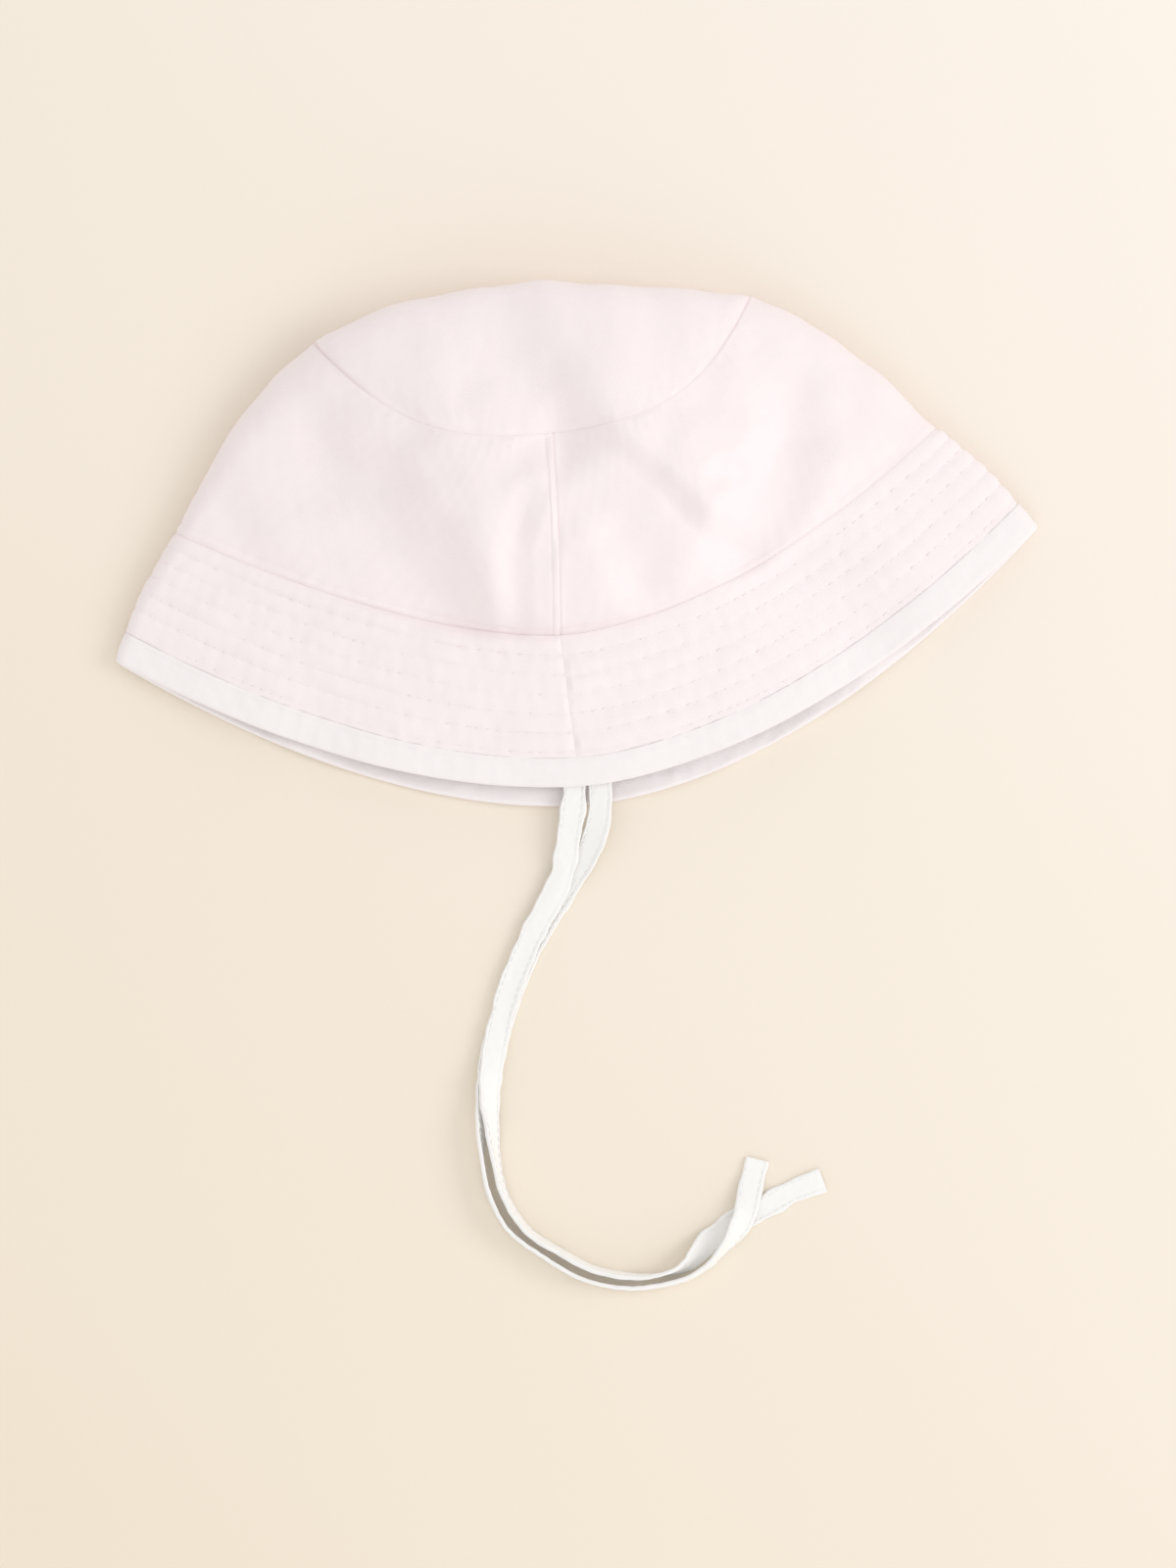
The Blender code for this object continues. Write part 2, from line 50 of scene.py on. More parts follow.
cameraSettings = {
    "pixel": 0.2784e-3,              # metres on the floor for one pixel of the 1200 x 1600 picture
    "height": 1.50,
    "roll": 7.82,                    # degrees between the brim's chord and the picture's lower edge
    "chordMiddle": (586.5, 608.0),   # the chord's middle in the picture
}


def placeUnderPixel(column, row):
    turn = math.radians(cameraSettings["roll"])
    right = (column - cameraSettings["chordMiddle"][0]) * cameraSettings["pixel"]
    up = (cameraSettings["chordMiddle"][1] - row) * cameraSettings["pixel"]
    return np.array([math.cos(turn) * right + math.sin(turn) * up,
                     -math.sin(turn) * right + math.cos(turn) * up, 0.0]) - planMiddle


def addCamera():
    lens = bpy.data.cameras.new("viewFromAbove")
    lens.lens = lens.sensor_width * cameraSettings["height"] / (1600 * cameraSettings["pixel"])
    camera = bpy.data.objects.new("viewFromAbove", lens)
    camera.location = placeUnderPixel(600, 800) + (0, 0, cameraSettings["height"])
    camera.rotation_euler = (0, 0, -math.radians(cameraSettings["roll"]))
    bpy.context.scene.collection.objects.link(camera)
    bpy.context.scene.camera = camera


addCamera()
print("camera placed")


# Small tools for numbers, curves and cloth meshes

def mix(low, high, share):
    return low + (high - low) * share


def smooth(low, high, value):
    share = np.clip((value - low) / (high - low), 0, 1)
    return share * share * (3 - 2 * share)


def bell(distance, width):
    return np.exp(-(distance / width) ** 2)


# Gentle irregular waves of about unit height, the same on every run.
def ripples(across, along, wavelength, seed, waves=9, wrap=None):
    chance = np.random.default_rng(seed)
    total = 0.0
    for wave in range(waves):
        heading = chance.uniform(0, math.pi)
        size = wavelength * chance.uniform(0.7, 1.5)
        often = math.cos(heading) / size
        if wrap:    # a whole number of waves on the way round
            often = round(often * wrap) / wrap
        total = total + np.sin(2 * math.pi * (often * across + math.sin(heading) / size * along)
                               + chance.uniform(0, 6.28))
    return total / math.sqrt(waves / 2)


def unit(vectors):
    return vectors / np.maximum(np.linalg.norm(vectors, axis=-1, keepdims=True), 1e-12)


def runLengths(points):
    steps = np.linalg.norm(np.diff(points, axis=0), axis=1)
    return np.concatenate([[0.0], np.cumsum(steps)])


# Places from one edge to the other, closer together near both edges.
def stops(length, spacing, fine, reach, inset=0.0):
    near = np.arange(inset, reach, fine)
    count = max(2, int(round((length - 2 * reach) / spacing)))
    return np.concatenate([near, np.linspace(reach, length - reach, count + 1), (length - near)[::-1]])


# A grid of cloth moved onto its places, with its flat position in metres as its UV map and its painted shade
# (darker along seams, grooves and stitch lines) as an attribute. A weld joins edges that meet, and caps close
# the open ends.
def clothMesh(name, places, flat, shade, weld=0.0, caps=False):
    rows, columns = places.shape[:2]
    shape = bmesh.new()
    shape.loops.layers.uv.new("cloth")
    bmesh.ops.create_grid(shape, x_segments=rows - 1, y_segments=columns - 1, size=1.0)
    for edge in shape.edges:
        edge.smooth = not edge.is_boundary    # a wall that turns in at a seam doesn't darken the cloth's face
    mesh = bpy.data.meshes.new(name)
    shape.to_mesh(mesh)
    shape.free()
    start = np.empty(len(mesh.vertices) * 3)
    mesh.vertices.foreach_get("co", start)
    start = start.reshape(-1, 3)
    row = np.rint((start[:, 0] + 1) / 2 * (rows - 1)).astype(int)
    column = np.rint((start[:, 1] + 1) / 2 * (columns - 1)).astype(int)
    mesh.vertices.foreach_set("co", places[row, column].ravel())
    corner = np.empty(len(mesh.loops), int)
    mesh.loops.foreach_get("vertex_index", corner)
    mesh.uv_layers["cloth"].data.foreach_set("uv", flat[row[corner], column[corner]].ravel())
    # The shade attribute is painted shade: it darkens the colour along seams, grooves and stitch lines.
    paintedShade = mesh.attributes.new("shade", "FLOAT", "POINT")
    paintedShade.data.foreach_set("value", shade[row, column].ravel())
    if weld or caps:
        shape = bmesh.new()
        shape.from_mesh(mesh)
        if weld:
            bmesh.ops.remove_doubles(shape, verts=shape.verts, dist=weld)
        if caps:
            bmesh.ops.holes_fill(shape, edges=[edge for edge in shape.edges if edge.is_boundary], sides=0)
            bmesh.ops.triangulate(shape, faces=[face for face in shape.faces if len(face.verts) > 4])
        shape.to_mesh(mesh)
        shape.free()
    mesh.shade_smooth()
    piece = bpy.data.objects.new(name, mesh)
    bpy.context.scene.collection.objects.link(piece)
    return piece


# The cloth's thickness, inwards from its face; even keeps it the same round bends.
def addWall(piece, wall, even=True):
    solidify = piece.modifiers.new("wall", "SOLIDIFY")
    solidify.thickness = wall
    solidify.offset = -1
    solidify.use_even_offset = even
    solidify.use_quality_normals = True
    solidify.thickness_clamp = 1.0


# Area of a piece's mesh in square centimetres.
def clothArea(piece):
    return round(sum(face.area for face in piece.data.polygons) * 1e4, 1)


# Give a piece its finish and put it on the hat's body in place of its solids.
def dress(piece, finish, slot, *nodes):
    piece.data.materials.append(finish)
    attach(piece, "root")
    if nodes:
        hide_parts(*nodes)
    return piece


# Finishes. Sums on a Wire become Math nodes; node() makes any other node.

class Wire:
    def __init__(self, tree, socket):
        self.tree = tree
        self.socket = socket

    def plug(self, target, value):
        if isinstance(value, Wire):
            self.tree.links.new(value.socket, target)
        else:
            target.default_value = value

    def node(self, kind, settings=None, sockets=None, output=0):
        made = self.tree.nodes.new("ShaderNode" + kind)
        for setting, value in (settings or {}).items():
            setattr(made, setting, value)
        for target, value in (sockets or {}).items():
            self.plug(made.inputs[target], value)
        return Wire(self.tree, made.outputs[output])

    def sums(self, operation, first, second):
        return self.node("Math", {"operation": operation}, {0: first, 1: second})

    def __add__(self, other):
        return self.sums("ADD", self, other)

    def __radd__(self, other):
        return self.sums("ADD", other, self)

    def __sub__(self, other):
        return self.sums("SUBTRACT", self, other)

    def __rsub__(self, other):
        return self.sums("SUBTRACT", other, self)

    def __mul__(self, other):
        return self.sums("MULTIPLY", self, other)

    def __rmul__(self, other):
        return self.sums("MULTIPLY", other, self)

    def sine(self):
        return self.node("Math", {"operation": "SINE"}, {0: self})

    # A colour between two, by this share.
    def blend(self, low, high):
        return self.node("Mix", {"data_type": "RGBA", "clamp_factor": True},
                         {0: self, 6: low, 7: high}, output=2)


def newFinish(name):
    material = bpy.data.materials.new(name)
    material.use_nodes = True
    return material, Wire(material.node_tree, None)


# A finish's shade is how strongly the painted shade attribute darkens its colour.
clothFinishes = {  # colours linear; pitch is the distance between ribs or threads, in metres
    "pinkCrown": {"light": (0.965, 0.880, 0.895), "deep": (0.80, 0.66, 0.68), "pitch": 0.00062,
                  "lean": 1.0, "roughness": 0.86, "relief": 0.00007, "shade": 0.55},
    "pinkBrim": {"light": (0.960, 0.885, 0.900), "deep": (0.80, 0.66, 0.68), "pitch": 0.00062,
                 "lean": -1.0, "roughness": 0.86, "relief": 0.00007, "shade": 0.55},
    "whiteBinding": {"light": (0.945, 0.895, 0.905), "deep": (0.76, 0.73, 0.73), "pitch": 0.0005,
                     "lean": 0.6, "roughness": 0.80, "relief": 0.00005, "shade": 0.5},
    "whiteTape": {"light": (0.960, 0.952, 0.938), "deep": (0.80, 0.79, 0.77), "pitch": 0.00045,
                  "lean": 0.0, "roughness": 0.80, "relief": 0.00005, "shade": 0.5},
    "pinkThread": {"light": (0.955, 0.875, 0.885), "deep": (0.86, 0.76, 0.78), "pitch": 0.0003,
                   "lean": 1.0, "roughness": 0.65, "relief": 0.00003, "shade": 0.0},
    "whiteThread": {"light": (0.93, 0.92, 0.91), "deep": (0.82, 0.81, 0.80), "pitch": 0.0003,
                    "lean": 1.0, "roughness": 0.65, "relief": 0.00003, "shade": 0.0},
}


weaveSettings = {  # scales are repeats in a metre of cloth
    "sheen": 0.15, "sheenRoughness": 0.6,
    "fuzzScale": 1900.0, "mottleScale": 90.0,
    "slubStretch": (160.0, 1100.0, 1.0),    # slubs are thick places that run along the threads
    "bump": 0.7, "roughnessRange": 0.08,
}


# Cotton cloth: ribs or threads along its own flat pattern, soft fuzz and faint mottling, with painted shade
# in the weave's low places and from the shade attribute.
def wovenFinish(name):
    cloth = clothFinishes[name]
    material, start = newFinish(name)
    shader = material.node_tree.nodes["Principled BSDF"]
    shader.inputs["Sheen Weight"].default_value = weaveSettings["sheen"]
    shader.inputs["Sheen Roughness"].default_value = weaveSettings["sheenRoughness"]
    flat = start.node("UVMap", {"uv_map": "cloth"})
    apart = start.node("SeparateXYZ", sockets={0: flat})
    across = Wire(start.tree, apart.socket.node.outputs[0])
    along = Wire(start.tree, apart.socket.node.outputs[1])
    turn = 2 * math.pi / cloth["pitch"]
    rib = (across * turn + along * (turn * cloth["lean"])).sine() * 0.5 + 0.5
    thread = (along * turn - across * (turn * 0.5 * cloth["lean"])).sine() * 0.5 + 0.5
    fuzz = start.node("TexNoise", {"noise_dimensions": "3D"},
                      {"Vector": flat, "Scale": weaveSettings["fuzzScale"], "Detail": 2.0, "Roughness": 0.6})
    mottle = start.node("TexNoise", {"noise_dimensions": "3D"},
                        {"Vector": flat, "Scale": weaveSettings["mottleScale"], "Detail": 3.0,
                         "Roughness": 0.55})
    stretched = start.node("VectorMath", {"operation": "MULTIPLY"},
                           {0: flat, 1: weaveSettings["slubStretch"]})
    slub = start.node("TexNoise", {"noise_dimensions": "3D"},
                      {"Vector": stretched, "Scale": 1.0, "Detail": 1.0, "Roughness": 0.5})
    height = rib * 0.35 + thread * 0.2 + fuzz * 0.3 + slub * 0.25
    # Lower places of the weave are painted darker, a painted shade in its hollows; the fuzz, slubs and
    # mottling also vary the tone at random.
    depth = (1.0 - height) * 0.16 + mottle * 0.16 - 0.07
    # The shade attribute darkens the colour towards the deep colour: painted shade in seams, grooves and
    # stitch lines.
    if cloth["shade"]:
        paintedShade = start.node("Attribute", {"attribute_name": "shade", "attribute_type": "GEOMETRY"}, output=2)
        depth = depth + paintedShade * cloth["shade"]
    colour = depth.blend((*cloth["light"], 1.0), (*cloth["deep"], 1.0))
    start.plug(shader.inputs["Base Color"], colour)
    spread = weaveSettings["roughnessRange"]
    start.plug(shader.inputs["Roughness"], height * spread + (cloth["roughness"] - spread / 2))
    relief = start.node("Bump", {}, {"Height": height, "Strength": weaveSettings["bump"],
                                     "Distance": cloth["relief"]})
    start.plug(shader.inputs["Normal"], relief)
    return material


finishes = {name: wovenFinish(name) for name in clothFinishes}
print("cloth finishes made:", len(finishes))


# Ties: two soft tapes along their routes, from under the brim to where they cross

tieSettings = {
    "width": 0.0070, "wall": 0.0009, "step": 0.0008, "columns": 26,
    "fullLength": 0.30,      # the rows are counted for a tape of this length
    "edgeRoll": 0.00016,     # how far the folded edges stand proud
    "wave": 0.00016,         # how far the edges waver
    "pucker": 0.00007, "cup": 0.00022,
    "lift": 0.00012,         # keeps the puckers off the surface
    "lowest": 0.00005,
    "stitchInset": 0.0011,   # the stitch line's distance from the edge
    "stitchGroove": 0.00010, "stitchWidth": 0.0003,
    "stitchPitch": 0.0024,
}

# x, y, height and turn of the tape's middle: 0 lies flat and 90 stands on edge
leftTieRoute = (
    (-0.0060, -0.0135, 0.0118, 0), (-0.0064, -0.0240, 0.0095, 0), (-0.0068, -0.0380, 0.0069, 0),
    (-0.0076, -0.0546, 0.0055, 0), (-0.0107, -0.0665, 0.0042, 0), (-0.0141, -0.0773, 0.0026, 0),
    (-0.0185, -0.0846, 0.0022, 0), (-0.0258, -0.0948, 0.0022, 0), (-0.0347, -0.1107, 0.0022, 0),
    (-0.0405, -0.1259, 0.0025, 8), (-0.0431, -0.1365, 0.0038, 32), (-0.0437, -0.1465, 0.0041, 58),
    (-0.0438, -0.1550, 0.0038, 73), (-0.0427, -0.1658, 0.0037, 78), (-0.0376, -0.1767, 0.0037, 80),
    (-0.0295, -0.1838, 0.0037, 82), (-0.0202, -0.1902, 0.0037, 83), (-0.0086, -0.1938, 0.0037, 86),
    (0.0006, -0.1938, 0.0036, 100), (0.0051, -0.1926, 0.0033, 118), (0.0085, -0.1903, 0.0024, 144),
    (0.0120, -0.1874, 0.0013, 164), (0.0163, -0.1848, 0.0007, 178), (0.0213, -0.1822, 0.0006, 180),
    (0.0291, -0.1796, 0.0006, 180), (0.0381, -0.1761, 0.0006, 180), (0.0473, -0.1740, 0.0006, 180),
)
rightTieRoute = (
    (-0.0010, -0.0150, 0.0030, 0), (-0.0006, -0.0300, 0.0037, 0), (-0.0003, -0.0430, 0.0052, 0),
    (-0.0002, -0.0546, 0.0055, -4), (-0.0020, -0.0645, 0.0049, -12), (-0.0066, -0.0735, 0.0024, -12),
    (-0.0128, -0.0810, 0.0008, -2), (-0.0200, -0.0893, 0.0006, 0), (-0.0278, -0.0998, 0.0006, 0),
    (-0.0352, -0.1130, 0.0006, 0), (-0.0412, -0.1262, 0.0011, 8), (-0.0442, -0.1370, 0.0024, 34),
    (-0.0465, -0.1460, 0.0035, 66), (-0.0477, -0.1545, 0.0037, 88), (-0.0473, -0.1649, 0.0037, 96),
    (-0.0432, -0.1756, 0.0037, 92), (-0.0351, -0.1840, 0.0037, 95), (-0.0242, -0.1924, 0.0037, 95),
    (-0.0113, -0.1967, 0.0037, 97), (0.0030, -0.1965, 0.0037, 98), (0.0109, -0.1938, 0.0037, 102),
    (0.0162, -0.1896, 0.0037, 112), (0.0201, -0.1858, 0.0037, 134), (0.0231, -0.1818, 0.0035, 160),
    (0.0247, -0.1784, 0.0028, 176), (0.0261, -0.1745, 0.0019, 180), (0.0278, -0.1702, 0.0009, 180),
    (0.0297, -0.1656, 0.0006, 180),
)


# Evenly spaced places on a smooth curve through the route's points.
def smoothRoute(route, count):
    rows = np.array(route, float)
    run = np.linspace(0, len(rows) - 1, count * 4)
    spot = np.minimum(run.astype(int), len(rows) - 2)
    share = (run - spot)[:, None]
    before, first = rows[np.maximum(spot - 1, 0)], rows[spot]
    last, after = rows[spot + 1], rows[np.minimum(spot + 2, len(rows) - 1)]
    curve = 0.5 * (2 * first + (last - before) * share
                   + (2 * before - 5 * first + 4 * last - after) * share ** 2
                   + (3 * first - before - 3 * last + after) * share ** 3)
    length = runLengths(curve[:, :3])
    even = np.linspace(0, length[-1], count)
    return np.stack([np.interp(even, length, curve[:, part]) for part in range(4)], 1), length[-1]


# Across and up shares of a flat tape's rounded outline, going once round it.
def tapeSection(columns):
    width, wall = tieSettings["width"], tieSettings["wall"]
    flat, bend = width - wall, math.pi * wall / 2
    stations = np.linspace(0, 2 * (flat + bend), columns)
    across, up = [], []
    for station in stations:
        half = station % (flat + bend)
        sign = -1 if station >= flat + bend else 1
        if half < flat:
            spot = (flat / 2 - half, wall / 2)
        else:
            turn = (half - flat) / bend * math.pi
            spot = (-flat / 2 - wall / 2 * math.sin(turn), wall / 2 * math.cos(turn))
        across.append(spot[0] * sign)
        up.append(spot[1] * sign)
    across[-1], up[-1] = across[0], up[0]
    return np.array(across), np.array(up), stations


# Directions along, across and out of the tape at each place.
def tapeFrames(line):
    along = unit(np.gradient(line[:, :3], axis=0))
    right = unit(np.cross(along, (0.0, 0.0, 1.0)))
    up = np.cross(right, along)
    turn = np.radians(line[:, 3:4])
    across = np.cos(turn) * right + np.sin(turn) * up
    out = np.cross(across, along)
    return along, across, out


# One tape, its runs of stitches on both faces, its length and its middle line.
def addTie(name, route, node, seed):
    count = int(tieSettings["fullLength"] / tieSettings["step"])
    line, length = smoothRoute(route, count)
    line[:, :3] -= planMiddle
    along, across, out = tapeFrames(line)
    run = np.linspace(0, length, count)[:, None]
    side, up, stations = tapeSection(tieSettings["columns"])
    side, up = side[None, :], up[None, :]
    edge = np.abs(side) / (tieSettings["width"] / 2)
    waver = tieSettings["wave"] * ripples(run, side * 0, 0.009, seed) * edge ** 2 * np.sign(side)
    roll = tieSettings["edgeRoll"] * bell(edge - 0.82, 0.14) * np.sign(up)
    stitchPlace = tieSettings["width"] / 2 - tieSettings["stitchInset"]
    sewn = bell(np.abs(side) - stitchPlace, tieSettings["stitchWidth"])
    groove = -tieSettings["stitchGroove"] * sewn * np.sign(up)
    pucker = tieSettings["pucker"] * ripples(side, run, 0.0035, seed + 1)
    cup = tieSettings["cup"] * ripples(run, side * 0, 0.05, seed + 2) * (1 - edge ** 2)
    end = np.minimum(smooth(-0.0004, 0.0012, run), smooth(-0.0004, 0.0012, length - run))
    tall = (up + roll + groove) * mix(0.45, 1.0, end) + pucker * 0.6 + cup
    wide = (side + waver) * mix(0.93, 1.0, end)
    places = line[:, None, :3] + across[:, None, :] * wide[..., None] + out[:, None, :] * tall[..., None]
    places[..., 2] = np.maximum(places[..., 2] + tieSettings["lift"], tieSettings["lowest"])
    flat = np.stack(np.broadcast_arrays(stations[None, :], run), -1)
    # Painted shade along the stitch lines; the tape is also painted a little darker near its two ends.
    shade = np.broadcast_to(0.35 * sewn + 0.10 * (1 - end), places.shape[:2])
    tape = clothMesh(name, places[::-1], flat[::-1], shade[::-1], weld=1e-7, caps=True)
    dress(tape, finishes["whiteTape"], "tie_tape", node)
    stitches = []
    for edgeSide in (-1, 1):
        for face in (-1, 1):
            middle = (line[:, :3] + across * (edgeSide * stitchPlace)
                      + out * face * (tieSettings["wall"] / 2 + 0.00002))
            middle[:, 2] += tieSettings["lift"]
            stitches.append((middle[3:-3], (out * face)[3:-3]))
    return tape, stitches, length, line[:, :3]


threadSettings = {
    "size": (0.00078, 0.00017, 0.00012),    # half a thread's length, width and height
    "reach": 2e-4,                          # metres to either side that give a thread its direction
}


# Small threads end to end along each run.
def addStitches(name, runs, pitch, finish, slot):
    size, reach = threadSettings["size"], threadSettings["reach"]
    whole = bmesh.new()
    for middle, out in runs:
        length = runLengths(middle)
        count = int(length[-1] / pitch)
        places = (np.arange(count) + 0.5) * length[-1] / count
        spots = np.stack([np.interp(places, length, middle[:, part]) for part in range(3)], 1)
        after = np.stack([np.interp(places + reach, length, middle[:, part]) for part in range(3)], 1)
        before = np.stack([np.interp(places - reach, length, middle[:, part]) for part in range(3)], 1)
        outs = unit(np.stack([np.interp(places, length, out[:, part]) for part in range(3)], 1))
        ways = unit(after - before)
        row = bmesh.new()
        for spot, way, up in zip(spots, ways, outs):
            aside = np.cross(up, way)
            turned = Matrix(np.stack([way * size[0], unit(aside) * size[1], up * size[2]], 1).tolist())
            bmesh.ops.create_uvsphere(row, u_segments=6, v_segments=4, radius=1.0,
                                      matrix=Matrix.Translation(Vector(spot)) @ turned.to_4x4())
        part = bpy.data.meshes.new("row")
        row.to_mesh(part)
        row.free()
        whole.from_mesh(part)
        bpy.data.meshes.remove(part)
    layer = whole.loops.layers.uv.new("cloth")
    for face in whole.faces:
        for loop in face.loops:
            loop[layer].uv = (loop.vert.co.x, loop.vert.co.y)
    bmesh.ops.recalc_face_normals(whole, faces=whole.faces)
    mesh = bpy.data.meshes.new(name)
    whole.to_mesh(mesh)
    whole.free()
    mesh.shade_smooth()
    piece = bpy.data.objects.new(name, mesh)
    bpy.context.scene.collection.objects.link(piece)
    return dress(piece, finish, slot)


for tieName, route, node, seed in (("tieLeftTape", leftTieRoute, "tie_left", 11),
                                   ("tieRightTape", rightTieRoute, "tie_right", 23)):
    tape, tapeRuns, tapeLength, tapeLine = addTie(tieName, route, node, seed)
    seam = addStitches(tieName + "Stitches", tapeRuns, tieSettings["stitchPitch"],
                       finishes["whiteThread"], "tie_tape")
    tapeLine[::3].tolist() + [tapeLine[-1].tolist()]
    print(tieName, "made,", round(float(tapeLength) * 1000), "mm long")


# The hat's skin: the solids' rings as arrays, but with the mouth 1.9 mm lower than theirs

hat = {  # metres, degrees for the flare, shares for the bulges and the brim's middle
    "baseWidth": 0.2174, "topWidth": 0.1242, "crownRise": 0.0459,
    "brimDepth": 0.0405, "brimFlare": 36.0, "baseBow": 0.0440, "topBow": 0.0335, "roofRise": 0.0100,
    "crownLoft": 0.0310, "baseLoft": 0.0165, "mouthLoft": 0.0081, "roofFoldHeight": 0.0140,
    "lowerReach": 0.0054, "crownBend": 0.0045, "topBend": 0.0080, "edgeBend": 0.0024,
    "edgeCover": 0.0012,    # the binding beyond the cloth's edge
    "edgeLift": 0.0007,     # the brim's edge above the surface, by the binding under it
    "bindingWidth": 0.0080, "crownBulge": 0.127, "brimBulge": 0.073, "brimMiddle": 1.063,
}
seams = {  # shift, tilt, power on the front side, power on the back side, ear
    "edge": (0.003, 0.007, 1.78, 1.83, -0.046),
    "base": (-0.008, 0.000, 1.58, 1.79, -0.043),
    "top": (-0.022, -0.030, 2.77, 3.07, 0.022),
}
roofPowers = (3.05, 1.23)
climb = ((0.00, 0.00), (0.10, 0.30), (0.25, 0.62), (0.50, 0.90), (0.75, 1.00), (1.00, 0.97))

# Folds of the upper side: part, three points, reach to the front and back side, depth at both ends,
# as shares of half the base seam's width, and the depths as shares of the crown's loft
folds = {
    "front valley": ("crown", -0.69, 0.25, -0.49, 0.02, -0.30, -0.36, 0.26, 0.16, -0.17, -0.14),
    "front ridge": ("crown", -0.29, 0.12, -0.21, -0.07, -0.20, -0.30, 0.13, 0.10, 0.04, 0.06),
    "narrow valley": ("crown", -0.08, -0.04, -0.15, -0.19, -0.16, -0.36, 0.06, 0.06, -0.04, -0.06),
    "ear valley": ("crown", 0.03, 0.13, 0.01, -0.01, -0.02, -0.14, 0.08, 0.15, -0.06, -0.03),
    "roof valley": ("crown", -0.12, 0.44, -0.09, 0.29, 0.00, 0.13, 0.20, 0.19, -0.13, -0.19),
    "roof dimple": ("crown", -0.35, 0.38, -0.29, 0.31, -0.22, 0.27, 0.10, 0.10, -0.03, -0.04),
    "back crease": ("crown", 0.13, 0.15, 0.29, 0.00, 0.38, -0.13, 0.08, 0.26, 0.12, 0.15),
    "crease valley": ("crown", 0.11, -0.06, 0.14, -0.17, 0.18, -0.30, 0.10, 0.15, -0.04, -0.07),
    "curled ridge": ("crown", 0.38, -0.06, 0.40, -0.15, 0.28, -0.30, 0.13, 0.05, 0.03, 0.05),
    "knot": ("crown", 0.41, -0.06, 0.43, -0.05, 0.45, -0.05, 0.06, 0.06, -0.11, -0.11),
    "back valley": ("crown", 0.61, 0.27, 0.60, 0.03, 0.44, -0.23, 0.11, 0.16, -0.14, -0.24),
    "back brim sag": ("brim", 0.55, -0.30, 0.64, -0.38, 0.72, -0.47, 0.22, 0.22, -0.12, -0.10),
}

baseHalf, topHalf = hat["baseWidth"] / 2, hat["topWidth"] / 2
flare = math.radians(hat["brimFlare"])
baseEndY = hat["brimDepth"] * math.cos(flare)
topEndY = baseEndY + hat["crownRise"]
brimCloth = hat["brimDepth"] - hat["edgeCover"]
crownCloth = math.hypot(hat["crownRise"], (hat["baseWidth"] - hat["topWidth"]) / 2)


# The climb's table read on a smooth curve.
def climbShare(level):
    table = np.array(climb)
    keys, values = table[:, 0], table[:, 1]
    spot = np.clip(np.searchsorted(keys, level) - 1, 0, len(keys) - 2)
    low, high = np.maximum(spot - 1, 0), np.minimum(spot + 2, len(keys) - 1)
    span = keys[spot + 1] - keys[spot]
    leave = (values[spot + 1] - values[low]) / (keys[spot + 1] - keys[low]) * span
    arrive = (values[high] - values[spot]) / (keys[high] - keys[spot]) * span
    share = (level - keys[spot]) / span
    square, cube = share ** 2, share ** 3
    return ((2 * cube - 3 * square + 1) * values[spot] + (cube - 2 * square + share) * leave
            + (3 * square - 2 * cube) * values[spot + 1] + (cube - square) * arrive)


# Widths, bow, fold radius and heights of the ring at each level.
def ringAt(level):
    onBrim = level <= 0
    share = np.abs(level)
    part = [np.where(onBrim, mix(base, edge, share), mix(base, top, share))
            for base, edge, top in zip(seams["base"], seams["edge"], seams["top"])]
    half = np.where(onBrim, baseHalf + brimCloth * math.sin(flare) * share, mix(baseHalf, topHalf, share))
    endY = np.where(
        onBrim,
        baseEndY - brimCloth * math.cos(flare) * (share - hat["brimBulge"] * np.sin(math.pi * share)),
        baseEndY + hat["crownRise"] * (share + hat["crownBulge"] * np.sin(math.pi * share)))
    middle = np.where(
        onBrim,
        baseEndY - hat["baseBow"] - (hat["brimDepth"] * hat["brimMiddle"] - hat["edgeCover"]) * share,
        mix(baseEndY - hat["baseBow"], topEndY - hat["topBow"], share))
    reach = hat["lowerReach"] * np.where(onBrim, mix(0.35, 1.0, share), 0.35 * (1 - share))
    bend = np.where(onBrim, mix(hat["crownBend"], hat["edgeBend"], share),
                    mix(hat["crownBend"], hat["topBend"], share))
    lift = np.where(onBrim, hat["edgeLift"] * smooth(0.0, 0.8, share), 0.0)
    loft = np.where(onBrim, mix(hat["baseLoft"], hat["mouthLoft"], share),
                    mix(hat["baseLoft"], hat["crownLoft"], climbShare(level)))
    return {"half": half, "shift": part[0] * half, "tilt": part[1] * half, "front": part[2],
            "back": part[3], "ear": part[4], "endY": endY, "bow": endY - middle, "reach": reach,
            "bend": bend, "lift": lift, "loft": loft}


